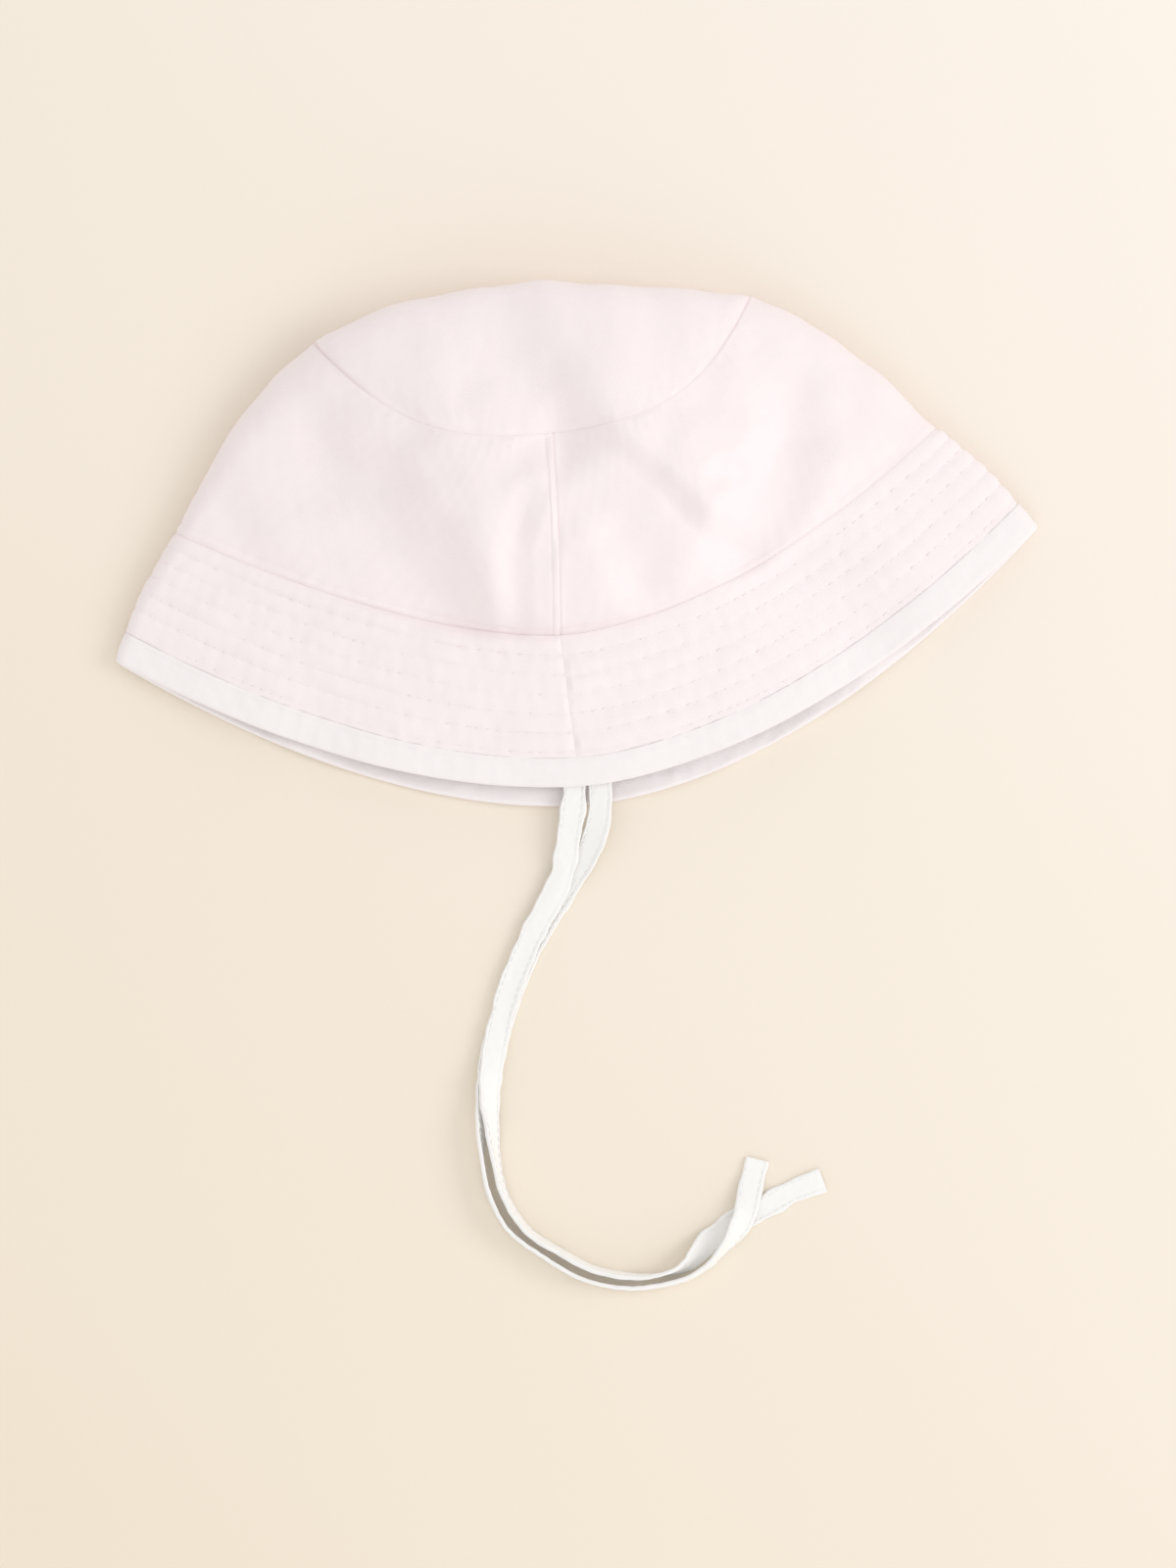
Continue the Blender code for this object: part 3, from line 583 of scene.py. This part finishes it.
# Height that the named folds add at each place on the upper side.
def foldHeight(x, y, part):
    spotX, spotY = x / baseHalf, (y - baseEndY) / baseHalf
    total = np.zeros(np.broadcast(spotX, spotY).shape)
    for kind, x0, y0, x1, y1, x2, y2, front, back, depth0, depth1 in folds.values():
        if kind != part:
            continue
        nearest = np.full(total.shape, 1e9)
        turn, along = np.zeros(total.shape), np.zeros(total.shape)
        for leg, (ax, ay, bx, by) in enumerate(((x0, y0, x1, y1), (x1, y1, x2, y2))):
            runX, runY = bx - ax, by - ay
            square = runX ** 2 + runY ** 2
            share = np.clip(((spotX - ax) * runX + (spotY - ay) * runY) / square, 0, 1)
            awayX, awayY = spotX - ax - runX * share, spotY - ay - runY * share
            distance = np.hypot(awayX, awayY)
            closer = distance < nearest
            side = (runX * awayY - runY * awayX) / np.maximum(math.sqrt(square) * distance, 1e-12)
            turn, along = np.where(closer, side, turn), np.where(closer, (leg + share) / 2, along)
            nearest = np.where(closer, distance, nearest)
        reach = mix(front, back, 0.5 + 0.5 * turn)
        total += mix(depth0, depth1, along) * (1 - smooth(0.0, 1.0, nearest / reach))
    return total * hat["crownLoft"]


# The power of a ring's bow, which changes from the front side to the back side.
def sidePower(across, front, back):
    return mix(front, back, smooth(-0.3, 0.3, across))


# Height of a rounded fold at a distance from its outer end.
def rollHeight(inset, bend):
    return np.where(inset < bend, np.sqrt(np.maximum(0.0, 2 * bend * inset - inset ** 2)), bend)


# Places on the outer side of the crown and the brim.
def skin(level, angle):
    level, angle = np.broadcast_arrays(np.asarray(level, float), np.asarray(angle, float))
    ring = ringAt(level)
    upper = np.sin(angle) >= 0
    turn = np.cos(angle)
    across = turn + ring["ear"] * (1 - turn ** 2)
    power = sidePower(across, ring["front"], ring["back"])
    bow = ring["bow"] + np.where(upper, 0.0, ring["reach"])
    x = ring["shift"] + ring["half"] * across
    y = ring["endY"] + ring["tilt"] * across - bow * (1 - np.abs(across) ** power)
    inset = ring["half"] * (1 - np.abs(across))
    roll = rollHeight(inset, ring["bend"])
    low = ring["lift"] + ring["bend"] - roll
    dome = np.maximum(0.0, ring["loft"] - ring["lift"] - 2 * ring["bend"]) * (1 - across ** 2)
    fade = smooth(0.0, 1.0, inset / (4 * ring["bend"]))
    crownShare = smooth(-0.10, 0.06, level)
    pressed = (foldHeight(x, y, "crown") * crownShare + foldHeight(x, y, "brim") * (1 - crownShare)) * fade
    high = ring["lift"] + ring["bend"] + roll + dome + pressed
    return np.stack([x, y, np.where(upper, high, low)], -1) - planMiddle


# Places on the top panel, over a disk: out runs front to back and up over the fold.
def roofSkin(up, out):
    up, out = np.broadcast_arrays(np.asarray(up, float), np.asarray(out, float))
    ring = {key: float(value) for key, value in ringAt(np.array(1.0)).items()}
    across = out + ring["ear"] * (1 - out ** 2)
    turn = np.clip(up / np.sqrt(np.maximum(1e-12, 1 - out ** 2)), -1, 1) * math.pi / 2
    chord = ring["endY"] + ring["tilt"] * across
    wide = np.minimum(np.abs(across), 1.0)
    seamY = chord - ring["bow"] * (1 - wide ** sidePower(across, ring["front"], ring["back"]))
    foldY = chord + hat["roofRise"] * (1 - wide ** sidePower(across, *roofPowers))
    foldZ = mix(ring["bend"], hat["roofFoldHeight"], np.sqrt(np.maximum(0.0, 1 - across ** 2)))
    x = ring["shift"] + ring["half"] * across
    y = seamY + (foldY - seamY) * np.cos(turn)
    inset = ring["half"] * (1 - wide)
    roll = rollHeight(inset, ring["bend"])
    low = mix(foldZ, ring["bend"] - roll, np.clip(np.sin(-turn) / 0.6, 0, 1) ** 0.7)
    dome = max(0.0, ring["loft"] - 2 * ring["bend"]) * (1 - across ** 2)
    rise = np.clip(np.sin(turn), 0, 1)
    pressed = foldHeight(x, y, "crown") * smooth(0.0, 4 * ring["bend"], inset) * smooth(0.0, 0.9, rise)
    high = mix(foldZ, ring["bend"] + roll + dome, rise ** 0.8) + pressed
    return np.stack([x, y, np.where(turn < 0, low, high)], -1) - planMiddle


# Unit directions along the rows' way and out of the cloth.
def directions(surface, row, column, step=1e-3):
    along = surface(row + step, column) - surface(row - step, column)
    around = surface(row, column + step) - surface(row, column - step)
    return unit(along), unit(np.cross(along, around))


# Angles that are evenly spaced on the cloth, and their distances from the start.
def ringStops(start, end, level, spacing, fine, reach, inset, samples=6001):
    angles = np.linspace(start, end, samples)
    length = runLengths(skin(np.full(angles.shape, level), angles))
    places = stops(length[-1], spacing, fine, reach, inset)
    return np.interp(places, length, angles), places


# Crown and brim: four sewn halves, each drawn in beside its seams

crownSettings = {
    "wall": 0.0011, "spacing": 0.00085, "fine": 0.00032, "reach": 0.0034, "gap": 0.00001,
    "seamDip": 0.00009, "topDip": 0.00014, "ridge": 0.00022, "ridgeUp": 0.0013,
    "earDip": 0.00016, "earRidge": 0.00024, "earRidgeWidth": 0.0019,
    "wave": 0.00022, "crinkle": 0.00003, "pucker": 0.00008,
    "bulge": 0.0018, "bulgeReach": 0.030,    # the crown's cloth hangs over the base seam by the ear seam
    "held": 0.0018,                          # the cloth is drawn flat within this distance of a seam
    "seamWidth": 0.0005, "topWidth": 0.0006, "earWidth": 0.0004,
    # The shade numbers set how dark each place is painted: painted shade.
    "seamShade": (0.30, 0.50), "topShade": 0.90, "earShade": 0.30, "ridgeShade": 0.10, "hangShade": 0.62,
}
brimSettings = {
    "wall": 0.0013, "spacing": 0.0009, "fine": 0.0003, "reach": 0.0024, "gap": 0.00001,
    "rowFirst": 0.135, "rowPitch": 0.1305, "rows": 6,   # shares of the brim's depth
    "puff": 0.00062, "backPuff": 0.00040, "groove": 0.00003, "pucker": 0.00007, "rowShade": 0.03,
    "seamDip": 0.00008, "earDip": 0.00005, "wave": 0.0003,
    "held": 0.0018, "seamWidth": 0.0005, "earWidth": 0.0004, "grooveWidth": 0.00045,
    "foldScale": 0.020, "backFold": 0.0042, "frontFold": 0.006,    # where the rows change at the folds
    # The shade numbers set how dark each place is painted: painted shade.
    "seamShade": 0.30, "earShade": 0.08, "pressed": 0.00004,
    "stitchPitch": 0.0029, "stitchRise": 0.00004, "rowStep": 0.0012,
}


# Metres from the nearest ear seam, more than 0 on the back side.
def earDistance(angle, level):
    return np.cos(angle) * ringAt(level)["half"]


# 0 on the front side and 1 on the back side, where the base seam and the brim's rows lie flatter.
def backShare(angle):
    return smooth(-0.05, 0.45, np.cos(angle))


# The top seam's dip and painted shade are faint in its middle and show at its two ends.
def topSeamShare(angle):
    return mix(0.15, 1.0, smooth(0.70, 0.88, np.abs(np.cos(angle))))


# Height over the plain skin and painted shade of the crown's halves.
def crownDetail(level, angle, along):
    low, high = level * crownCloth, (1 - level) * crownCloth
    upper = smooth(0.0, 0.1, np.sin(angle))
    ear = earDistance(angle, level)
    nearest = np.minimum(np.minimum(low, high), np.abs(ear))
    seam = smooth(0.0, crownSettings["held"], nearest)    # the cloth is loose away from the seams
    ends, backSide = topSeamShare(angle), backShare(angle)
    height = (-crownSettings["seamDip"] * bell(low, crownSettings["seamWidth"])
              - crownSettings["topDip"] * ends * bell(high, crownSettings["topWidth"]))
    ridge = crownSettings["ridge"] * mix(1.0, 0.25, backSide) * (1 + 0.25 * ripples(along, low * 0, 0.02, 3))
    height = height + ridge * (bell(low - crownSettings["ridgeUp"], 0.0007)
                               - 0.5 * bell(low - 2 * crownSettings["ridgeUp"], 0.0008))
    ridgeWidth, earWidth = crownSettings["earRidgeWidth"], crownSettings["earWidth"]
    seamSide = smooth(0.0001, 0.0005, -ear) * (1 - smooth(ridgeWidth - 0.0003, ridgeWidth + 0.0003, -ear))
    height = height + crownSettings["earRidge"] * seamSide - crownSettings["earDip"] * bell(ear, earWidth)
    height = height - 0.00012 * bell(ear + ridgeWidth + 0.0002, earWidth)
    near = bell(low, 0.009) + 0.7 * bell(high, 0.006) + 0.5 * bell(ear, 0.006)
    loose = crownSettings["wave"] * ripples(along, low, 0.022, 5)
    loose = loose + crownSettings["crinkle"] * ripples(along, low, 0.006, 6)
    loose = loose + crownSettings["pucker"] * near * ripples(along, low * 0.35, 0.0042, 7)
    hang = crownSettings["bulge"] * bell(ear, crownSettings["bulgeReach"]) * smooth(0.0, 0.0042, low)
    height = height + loose * seam + hang * np.exp(-low / 0.011) * upper
    middle = bell(ear, crownSettings["bulgeReach"]) * upper
    # Painted shade: darker along the base seam, the ends of the top seam, the ear seam, beside the ridge, and
    # in a band above the base seam where the cloth hangs over it.
    shade = (mix(*crownSettings["seamShade"], backSide) * bell(low, 0.0006)
             + crownSettings["topShade"] * ends * bell(high, 0.0005)
             + crownSettings["earShade"] * bell(ear - 0.0001, earWidth)
             + crownSettings["ridgeShade"] * bell(low - 2 * crownSettings["ridgeUp"], 0.0006)
             + crownSettings["hangShade"] * middle * np.exp(-low / 0.0035))
    return height, shade


# Slow waves of the brim, which its binding follows.
def gentleWave(plain, share):
    return brimSettings["wave"] * share * ripples(plain[..., 0], plain[..., 1], 0.035, 34)


# Height over the plain skin and painted shade of the brim's halves, with their rows of stitches.
def brimDetail(level, angle, along):
    share = -level
    low = share * brimCloth
    ear = earDistance(angle, level)
    seam = smooth(0.0, brimSettings["held"], np.minimum(low, np.abs(ear)))
    place = (share - brimSettings["rowFirst"]) / brimSettings["rowPitch"]
    row = np.clip(np.rint(place), 0, brimSettings["rows"] - 1)
    fromRow = (place - row) * brimSettings["rowPitch"] * brimCloth
    fromBack = np.minimum(np.abs(angle), np.abs(angle - 2 * math.pi))
    backFold = bell(fromBack * brimSettings["foldScale"], brimSettings["backFold"])
    frontFold = bell((angle - math.pi) * brimSettings["foldScale"], brimSettings["frontFold"])
    lively = 0.85 + 0.30 * ripples(along, place * 0.006, 0.018, 31)
    calm = mix(1.0, 0.35, backShare(angle))
    puff = brimSettings["puff"] * lively * calm * (1 - 0.6 * frontFold) + brimSettings["backPuff"] * backFold
    height = puff * np.abs(np.sin(math.pi * np.minimum(place, brimSettings["rows"] - 0.5))) ** 0.8
    height = height - brimSettings["groove"] * calm * bell(fromRow, brimSettings["grooveWidth"])
    height = height + brimSettings["pucker"] * ripples(along, low * 0.5, 0.0036, 33) * (
        0.6 + 0.8 * bell(fromRow, 0.0012))
    height = (height * seam - brimSettings["seamDip"] * bell(low, brimSettings["seamWidth"])
              - brimSettings["earDip"] * bell(ear, brimSettings["earWidth"]))
    # Painted shade: darker along the base seam, the ear seam and the grooves of the stitch rows.
    shade = (brimSettings["seamShade"] * bell(low, 0.0006)
             + brimSettings["earShade"] * bell(ear, brimSettings["earWidth"])
             + brimSettings["rowShade"] * bell(fromRow, 0.0005))
    covered = smooth(-0.0012, -0.0001, low - (brimCloth - hat["bindingWidth"] + hat["edgeCover"]))
    return height * (1 - covered) - brimSettings["pressed"] * covered, shade * (1 - covered)


# The skin with its detail: places, ways out and painted shade.
def dressedSkin(level, angle, along, detail):
    plain = skin(level, angle)
    out = directions(skin, np.asarray(level, float), np.asarray(angle, float))[1]
    height, shade = detail(level, angle, along)
    if detail is brimDetail:
        height = height + gentleWave(plain, -level)
    places = plain + out * height[..., None]
    places[..., 2] = np.maximum(places[..., 2], np.minimum(plain[..., 2], 0.0) + 0.00003)
    return places, out, shade


def addHalf(name, part, start, end, settings, detail, finish, slot):
    angles, along = ringStops(start, end, 0.0, settings["spacing"], settings["fine"], settings["reach"],
                              settings["gap"])
    depth = crownCloth if part == "crown" else brimCloth
    rows = stops(depth, settings["spacing"] * (0.85 if part == "crown" else 0.62), settings["fine"],
                 settings["reach"], settings["gap"])
    if part == "crown":
        levels = rows / depth
    else:
        levels = np.concatenate([[-1.0], -rows[::-1][rows[::-1] < depth - settings["reach"] * 0.5] / depth])
    level, angle = np.meshgrid(levels, angles, indexing="ij")
    run = np.broadcast_to(along, level.shape)
    places, out, shade = dressedSkin(level, angle, run, detail)
    flat = np.stack([run, level * depth], -1)
    piece = clothMesh(name, places, flat, np.clip(shade, 0, 1))
    addWall(piece, settings["wall"])
    return dress(piece, finish, slot, part + "_" + ("front" if "Front" in name else "back"))


quarterTurn = math.pi / 2
halves = {
    "crownFrontCloth": ("crown", quarterTurn, 3 * quarterTurn),
    "crownBackCloth": ("crown", -quarterTurn, quarterTurn),
    "brimFrontCloth": ("brim", quarterTurn, 3 * quarterTurn),
    "brimBackCloth": ("brim", -quarterTurn, quarterTurn),
}
halfKinds = {
    "crown": (crownSettings, crownDetail, finishes["pinkCrown"]),
    "brim": (brimSettings, brimDetail, finishes["pinkBrim"]),
}
for halfName, (part, start, end) in halves.items():
    addHalf(halfName, part, start, end, *halfKinds[part], part + "_cloth")


# Top panel: an oval folded in two along the top outline

roofSettings = {
    "wall": 0.0011, "spacing": 0.00085, "fine": 0.0003, "reach": 0.0020, "gap": 0.00001,
    "overWidth": 0.094,    # the oval's shorter way, over the fold
    "seamDip": 0.00016, "wave": 0.00020, "crinkle": 0.00003, "pucker": 0.00007,
    "held": 0.0018, "seamWidth": 0.0006,
}


def addRoof():
    across = stops(hat["topWidth"], roofSettings["spacing"], roofSettings["fine"], roofSettings["reach"])
    over = stops(roofSettings["overWidth"], roofSettings["spacing"], roofSettings["fine"],
                 roofSettings["reach"])
    rise, way = np.meshgrid(over / over[-1] * 2 - 1, across / across[-1] * 2 - 1, indexing="ij")
    shrink = 1 - roofSettings["gap"] / topHalf
    out, up = way * np.sqrt(1 - rise ** 2 / 2) * shrink, rise * np.sqrt(1 - way ** 2 / 2) * shrink
    plain = roofSkin(up, out)
    edge = (1 - np.hypot(out, up)) * topHalf
    turn = np.arctan2(up, out)
    beside = directions(skin, np.ones(turn.shape), turn)[1]    # the crown's way out at the seam
    normal = unit(mix(directions(roofSkin, up, out)[1], beside, bell(edge, 0.0015)[..., None]))
    x, y = out * topHalf, up * (roofSettings["overWidth"] / 2)
    loose = roofSettings["wave"] * ripples(x, y, 0.022, 51)
    loose = loose + roofSettings["crinkle"] * ripples(x, y, 0.006, 52)
    loose = loose + roofSettings["pucker"] * bell(edge, 0.006) * ripples(x, y, 0.0042, 53)
    ends, dip = topSeamShare(turn), bell(edge, roofSettings["seamWidth"])
    height = loose * smooth(0.0, roofSettings["held"], edge) - roofSettings["seamDip"] * ends * dip
    # Painted shade along the ends of the top seam.
    shade = crownSettings["topShade"] * ends * dip
    places = plain + normal * height[..., None]
    places[..., 2] = np.maximum(places[..., 2], 0.00003)
    roof = clothMesh("crownTopCloth", places, np.stack([x, y], -1), shade)
    addWall(roof, roofSettings["wall"], even=False)
    return dress(roof, finishes["pinkCrown"], "crown_cloth", "crown_top")


addRoof()


# Binding: bias tape folded over the brim's edge, with a stitch line by its inner edge

bindingSettings = {
    "wall": 0.00032, "gap": 0.00004, "spacing": 0.0009, "pucker": 0.00006, "swell": 0.00008,
    "thinEdge": 0.00006, "slope": 0.0007,    # the tape's thickness at its inner edge, and how soon it is full
    "stitchInset": 0.0012, "stitchPitch": 0.0026, "groove": 0.00008, "stitchWidth": 0.0004,
    "stitchRise": 0.00006,
}


# Level, distance out of the brim's skin and past its edge, round the folded tape.
def bindingProfile():
    bound = -1 + (hat["bindingWidth"] - hat["edgeCover"]) / brimCloth
    core, skinTop = brimSettings["wall"] / 2, bindingSettings["gap"] + bindingSettings["wall"]
    steps = np.linspace(0, 1, 12)
    turns = np.linspace(0, math.pi, 9)[1:-1]
    pressed = bindingSettings["gap"] + bindingSettings["thinEdge"]
    outer = [(bound, pressed, 0.0), (bound - bindingSettings["slope"] / brimCloth, skinTop, 0.0)]
    outer += [(mix(bound, -1.0, step), skinTop, 0.0) for step in steps[2:]]
    outer += [(-1.0, -core + (core + skinTop) * math.cos(turn), (core + skinTop) * math.sin(turn))
              for turn in turns]
    outer += [(mix(-1.0, bound, step), -2 * core - skinTop, 0.0) for step in steps]
    near = bindingSettings["gap"]
    inner = [(mix(bound, -1.0, step), -2 * core - near, 0.0) for step in steps[::3]]
    inner += [(-1.0, -core - (core + near) * math.cos(turn), (core + near) * math.sin(turn))
              for turn in turns[::2]]
    inner += [(mix(-1.0, bound, step), near, 0.0) for step in steps[::3]]
    return np.array(outer + inner + outer[:1]), len(outer)


# The ring of tape, and its run of stitches.
def addBinding():
    spacing = bindingSettings["spacing"]
    angles, along = ringStops(quarterTurn, quarterTurn + 2 * math.pi, -1.0, spacing, spacing, spacing, 0.0)
    profile, outerCount = bindingProfile()
    profile = profile[::-1]
    level, angle = np.meshgrid(profile[:, 0], angles, indexing="ij")
    run = np.broadcast_to(along, level.shape)
    base = skin(level, angle)
    inwards, flatOut = directions(skin, level, angle)
    pastEdge = -inwards
    isOuter = (np.arange(len(profile)) >= len(profile) - outerCount)[:, None]
    isOuter[0] = True    # the profile ends on its first point, and both are moved alike to meet
    inward = (level - level.min()) * brimCloth
    stitched = hat["bindingWidth"] - hat["edgeCover"] - bindingSettings["stitchInset"]
    fold = profile[:, 2][:, None] > 0
    relief = bindingSettings["pucker"] * ripples(run, inward * 0.8, 0.0040, 61, wrap=along[-1])
    relief = relief + bindingSettings["swell"] * ripples(run, inward * 0, 0.012, 62, wrap=along[-1])
    relief = relief - bindingSettings["groove"] * bell(inward - stitched, bindingSettings["stitchWidth"])
    side = np.where(profile[:, 1][:, None] > -brimSettings["wall"] / 2, 1.0, -1.0)
    tall = profile[:, 1][:, None] + relief * isOuter * np.where(fold, 0.4, 1.0) * side
    tall = tall + gentleWave(base, -level)
    places = base + flatOut * tall[..., None] + pastEdge * profile[:, 2][:, None, None]
    places[..., 2] = np.maximum(places[..., 2], 0.00003)
    girth = runLengths(np.stack([profile[:, 0] * brimCloth, profile[:, 1], profile[:, 2]], 1))
    flat = np.stack([run, np.broadcast_to(girth[:, None], run.shape)], -1)
    # Painted shade in the stitch groove and along the tape's inner edge.
    shade = isOuter * (0.12 * bell(inward - stitched, bindingSettings["stitchWidth"])
                       + 0.05 * bell(inward - hat["bindingWidth"] + hat["edgeCover"], 0.0004))
    ring = clothMesh("bindingCloth", places, flat, np.clip(shade, 0, 1), weld=1e-7)
    dress(ring, finishes["whiteBinding"], "binding_cloth", "brim_binding")
    line = np.full(angles.shape, -1 + stitched / brimCloth)
    # Measured from the tape's thin inner edge, so the threads lie mostly under its face and hardly show.
    height = profile[-1, 1] - bindingSettings["groove"] + bindingSettings["stitchRise"]
    middle = skin(line, angles)
    outs = directions(skin, line, angles)[1]
    return ring, (middle + outs * (height + gentleWave(middle, -line))[:, None], outs)


bindingRing, bindingRun = addBinding()
print("bindingCloth made,", clothArea(bindingRing) / 2, "square cm")


# Stitches: six rows round the brim and one along the binding

def brimRowRuns():
    rowStep = brimSettings["rowStep"]
    runs = []
    for row in range(brimSettings["rows"]):
        angles, along = ringStops(0.0, 2 * math.pi, -0.5, rowStep, rowStep, rowStep, 0.0)
        level = np.full(angles.shape, -(brimSettings["rowFirst"] + row * brimSettings["rowPitch"]))
        places, out, _ = dressedSkin(level, angles, along, brimDetail)
        runs.append((places + out * brimSettings["stitchRise"], out))
    return runs


brimSeams = addStitches("brimStitches", brimRowRuns(), brimSettings["stitchPitch"],
                        finishes["pinkThread"], "brim_cloth")
bindingSeam = addStitches("bindingStitches", [bindingRun], bindingSettings["stitchPitch"],
                          finishes["whiteThread"], "binding_cloth")
print("stitches made")


# Floor and soft light

stageSettings = {
    # The floor is painted lighter towards the upper right of the picture: painted light, standing in for a
    # window's light.
    "dimFloor": (0.880, 0.790, 0.655),    # towards the lower left of the picture
    "litFloor": (0.970, 0.905, 0.840),   # towards the upper right, nearer to the window
    "slope": (0.78, 0.62),                # the way from one to the other
    "reach": 0.30,                        # metres from the middle to either
    "halfSize": 4.0, "drop": 0.00002,     # the floor lies just under the hat
    "roughness": 0.9, "specular": 0.2,
    "world": 0.848, "worldColour": (1.0, 0.99, 0.975),
}

lightSettings = {  # place, size, watts, colour
    "sideLight": ((1.60, -0.16, 1.14), 0.90, 8.8, (1.0, 0.99, 0.99)),
    "frontLight": ((-0.16, -1.60, 1.00), 1.20, 2.7, (1.0, 0.99, 0.98)),
}


def addStage():
    shape = bmesh.new()
    bmesh.ops.create_grid(shape, x_segments=1, y_segments=1, size=stageSettings["halfSize"])
    bmesh.ops.translate(shape, vec=(0, 0, -stageSettings["drop"]), verts=shape.verts)
    mesh = bpy.data.meshes.new("floor")
    shape.to_mesh(mesh)
    shape.free()
    floor = bpy.data.objects.new("floor", mesh)
    bpy.context.scene.collection.objects.link(floor)
    material, start = newFinish("creamFloor")
    shader = material.node_tree.nodes["Principled BSDF"]
    apart = start.node("SeparateXYZ", sockets={0: start.node("TexCoord", output=3)})
    right, up = (Wire(start.tree, apart.socket.node.outputs[part]) for part in (0, 1))
    # Painted light: the floor's colour runs from the dim colour at the lower left to the lit colour at the
    # upper right.
    share = (right * stageSettings["slope"][0] + up * stageSettings["slope"][1]) * (
        0.5 / stageSettings["reach"]) + 0.5
    start.plug(shader.inputs["Base Color"], share.blend((*stageSettings["dimFloor"], 1.0),
                                                        (*stageSettings["litFloor"], 1.0)))
    shader.inputs["Roughness"].default_value = stageSettings["roughness"]
    shader.inputs["Specular IOR Level"].default_value = stageSettings["specular"]
    mesh.materials.append(material)
    world = bpy.data.worlds.new("softSky")
    world.use_nodes = True
    sky = world.node_tree.nodes["Background"]
    sky.inputs["Color"].default_value = (*stageSettings["worldColour"], 1.0)
    sky.inputs["Strength"].default_value = stageSettings["world"]
    bpy.context.scene.world = world
    for name, (place, size, watts, colour) in lightSettings.items():
        lamp = bpy.data.lights.new(name, "AREA")
        lamp.size, lamp.energy, lamp.color = size, watts, colour
        light = bpy.data.objects.new(name, lamp)
        light.location = place
        light.rotation_euler = (-Vector(place)).to_track_quat("-Z", "Y").to_euler()
        light.visible_camera = False
        bpy.context.scene.collection.objects.link(light)
    bpy.context.scene.view_settings.view_transform = "Standard"


addStage()
print("floor and lights placed")
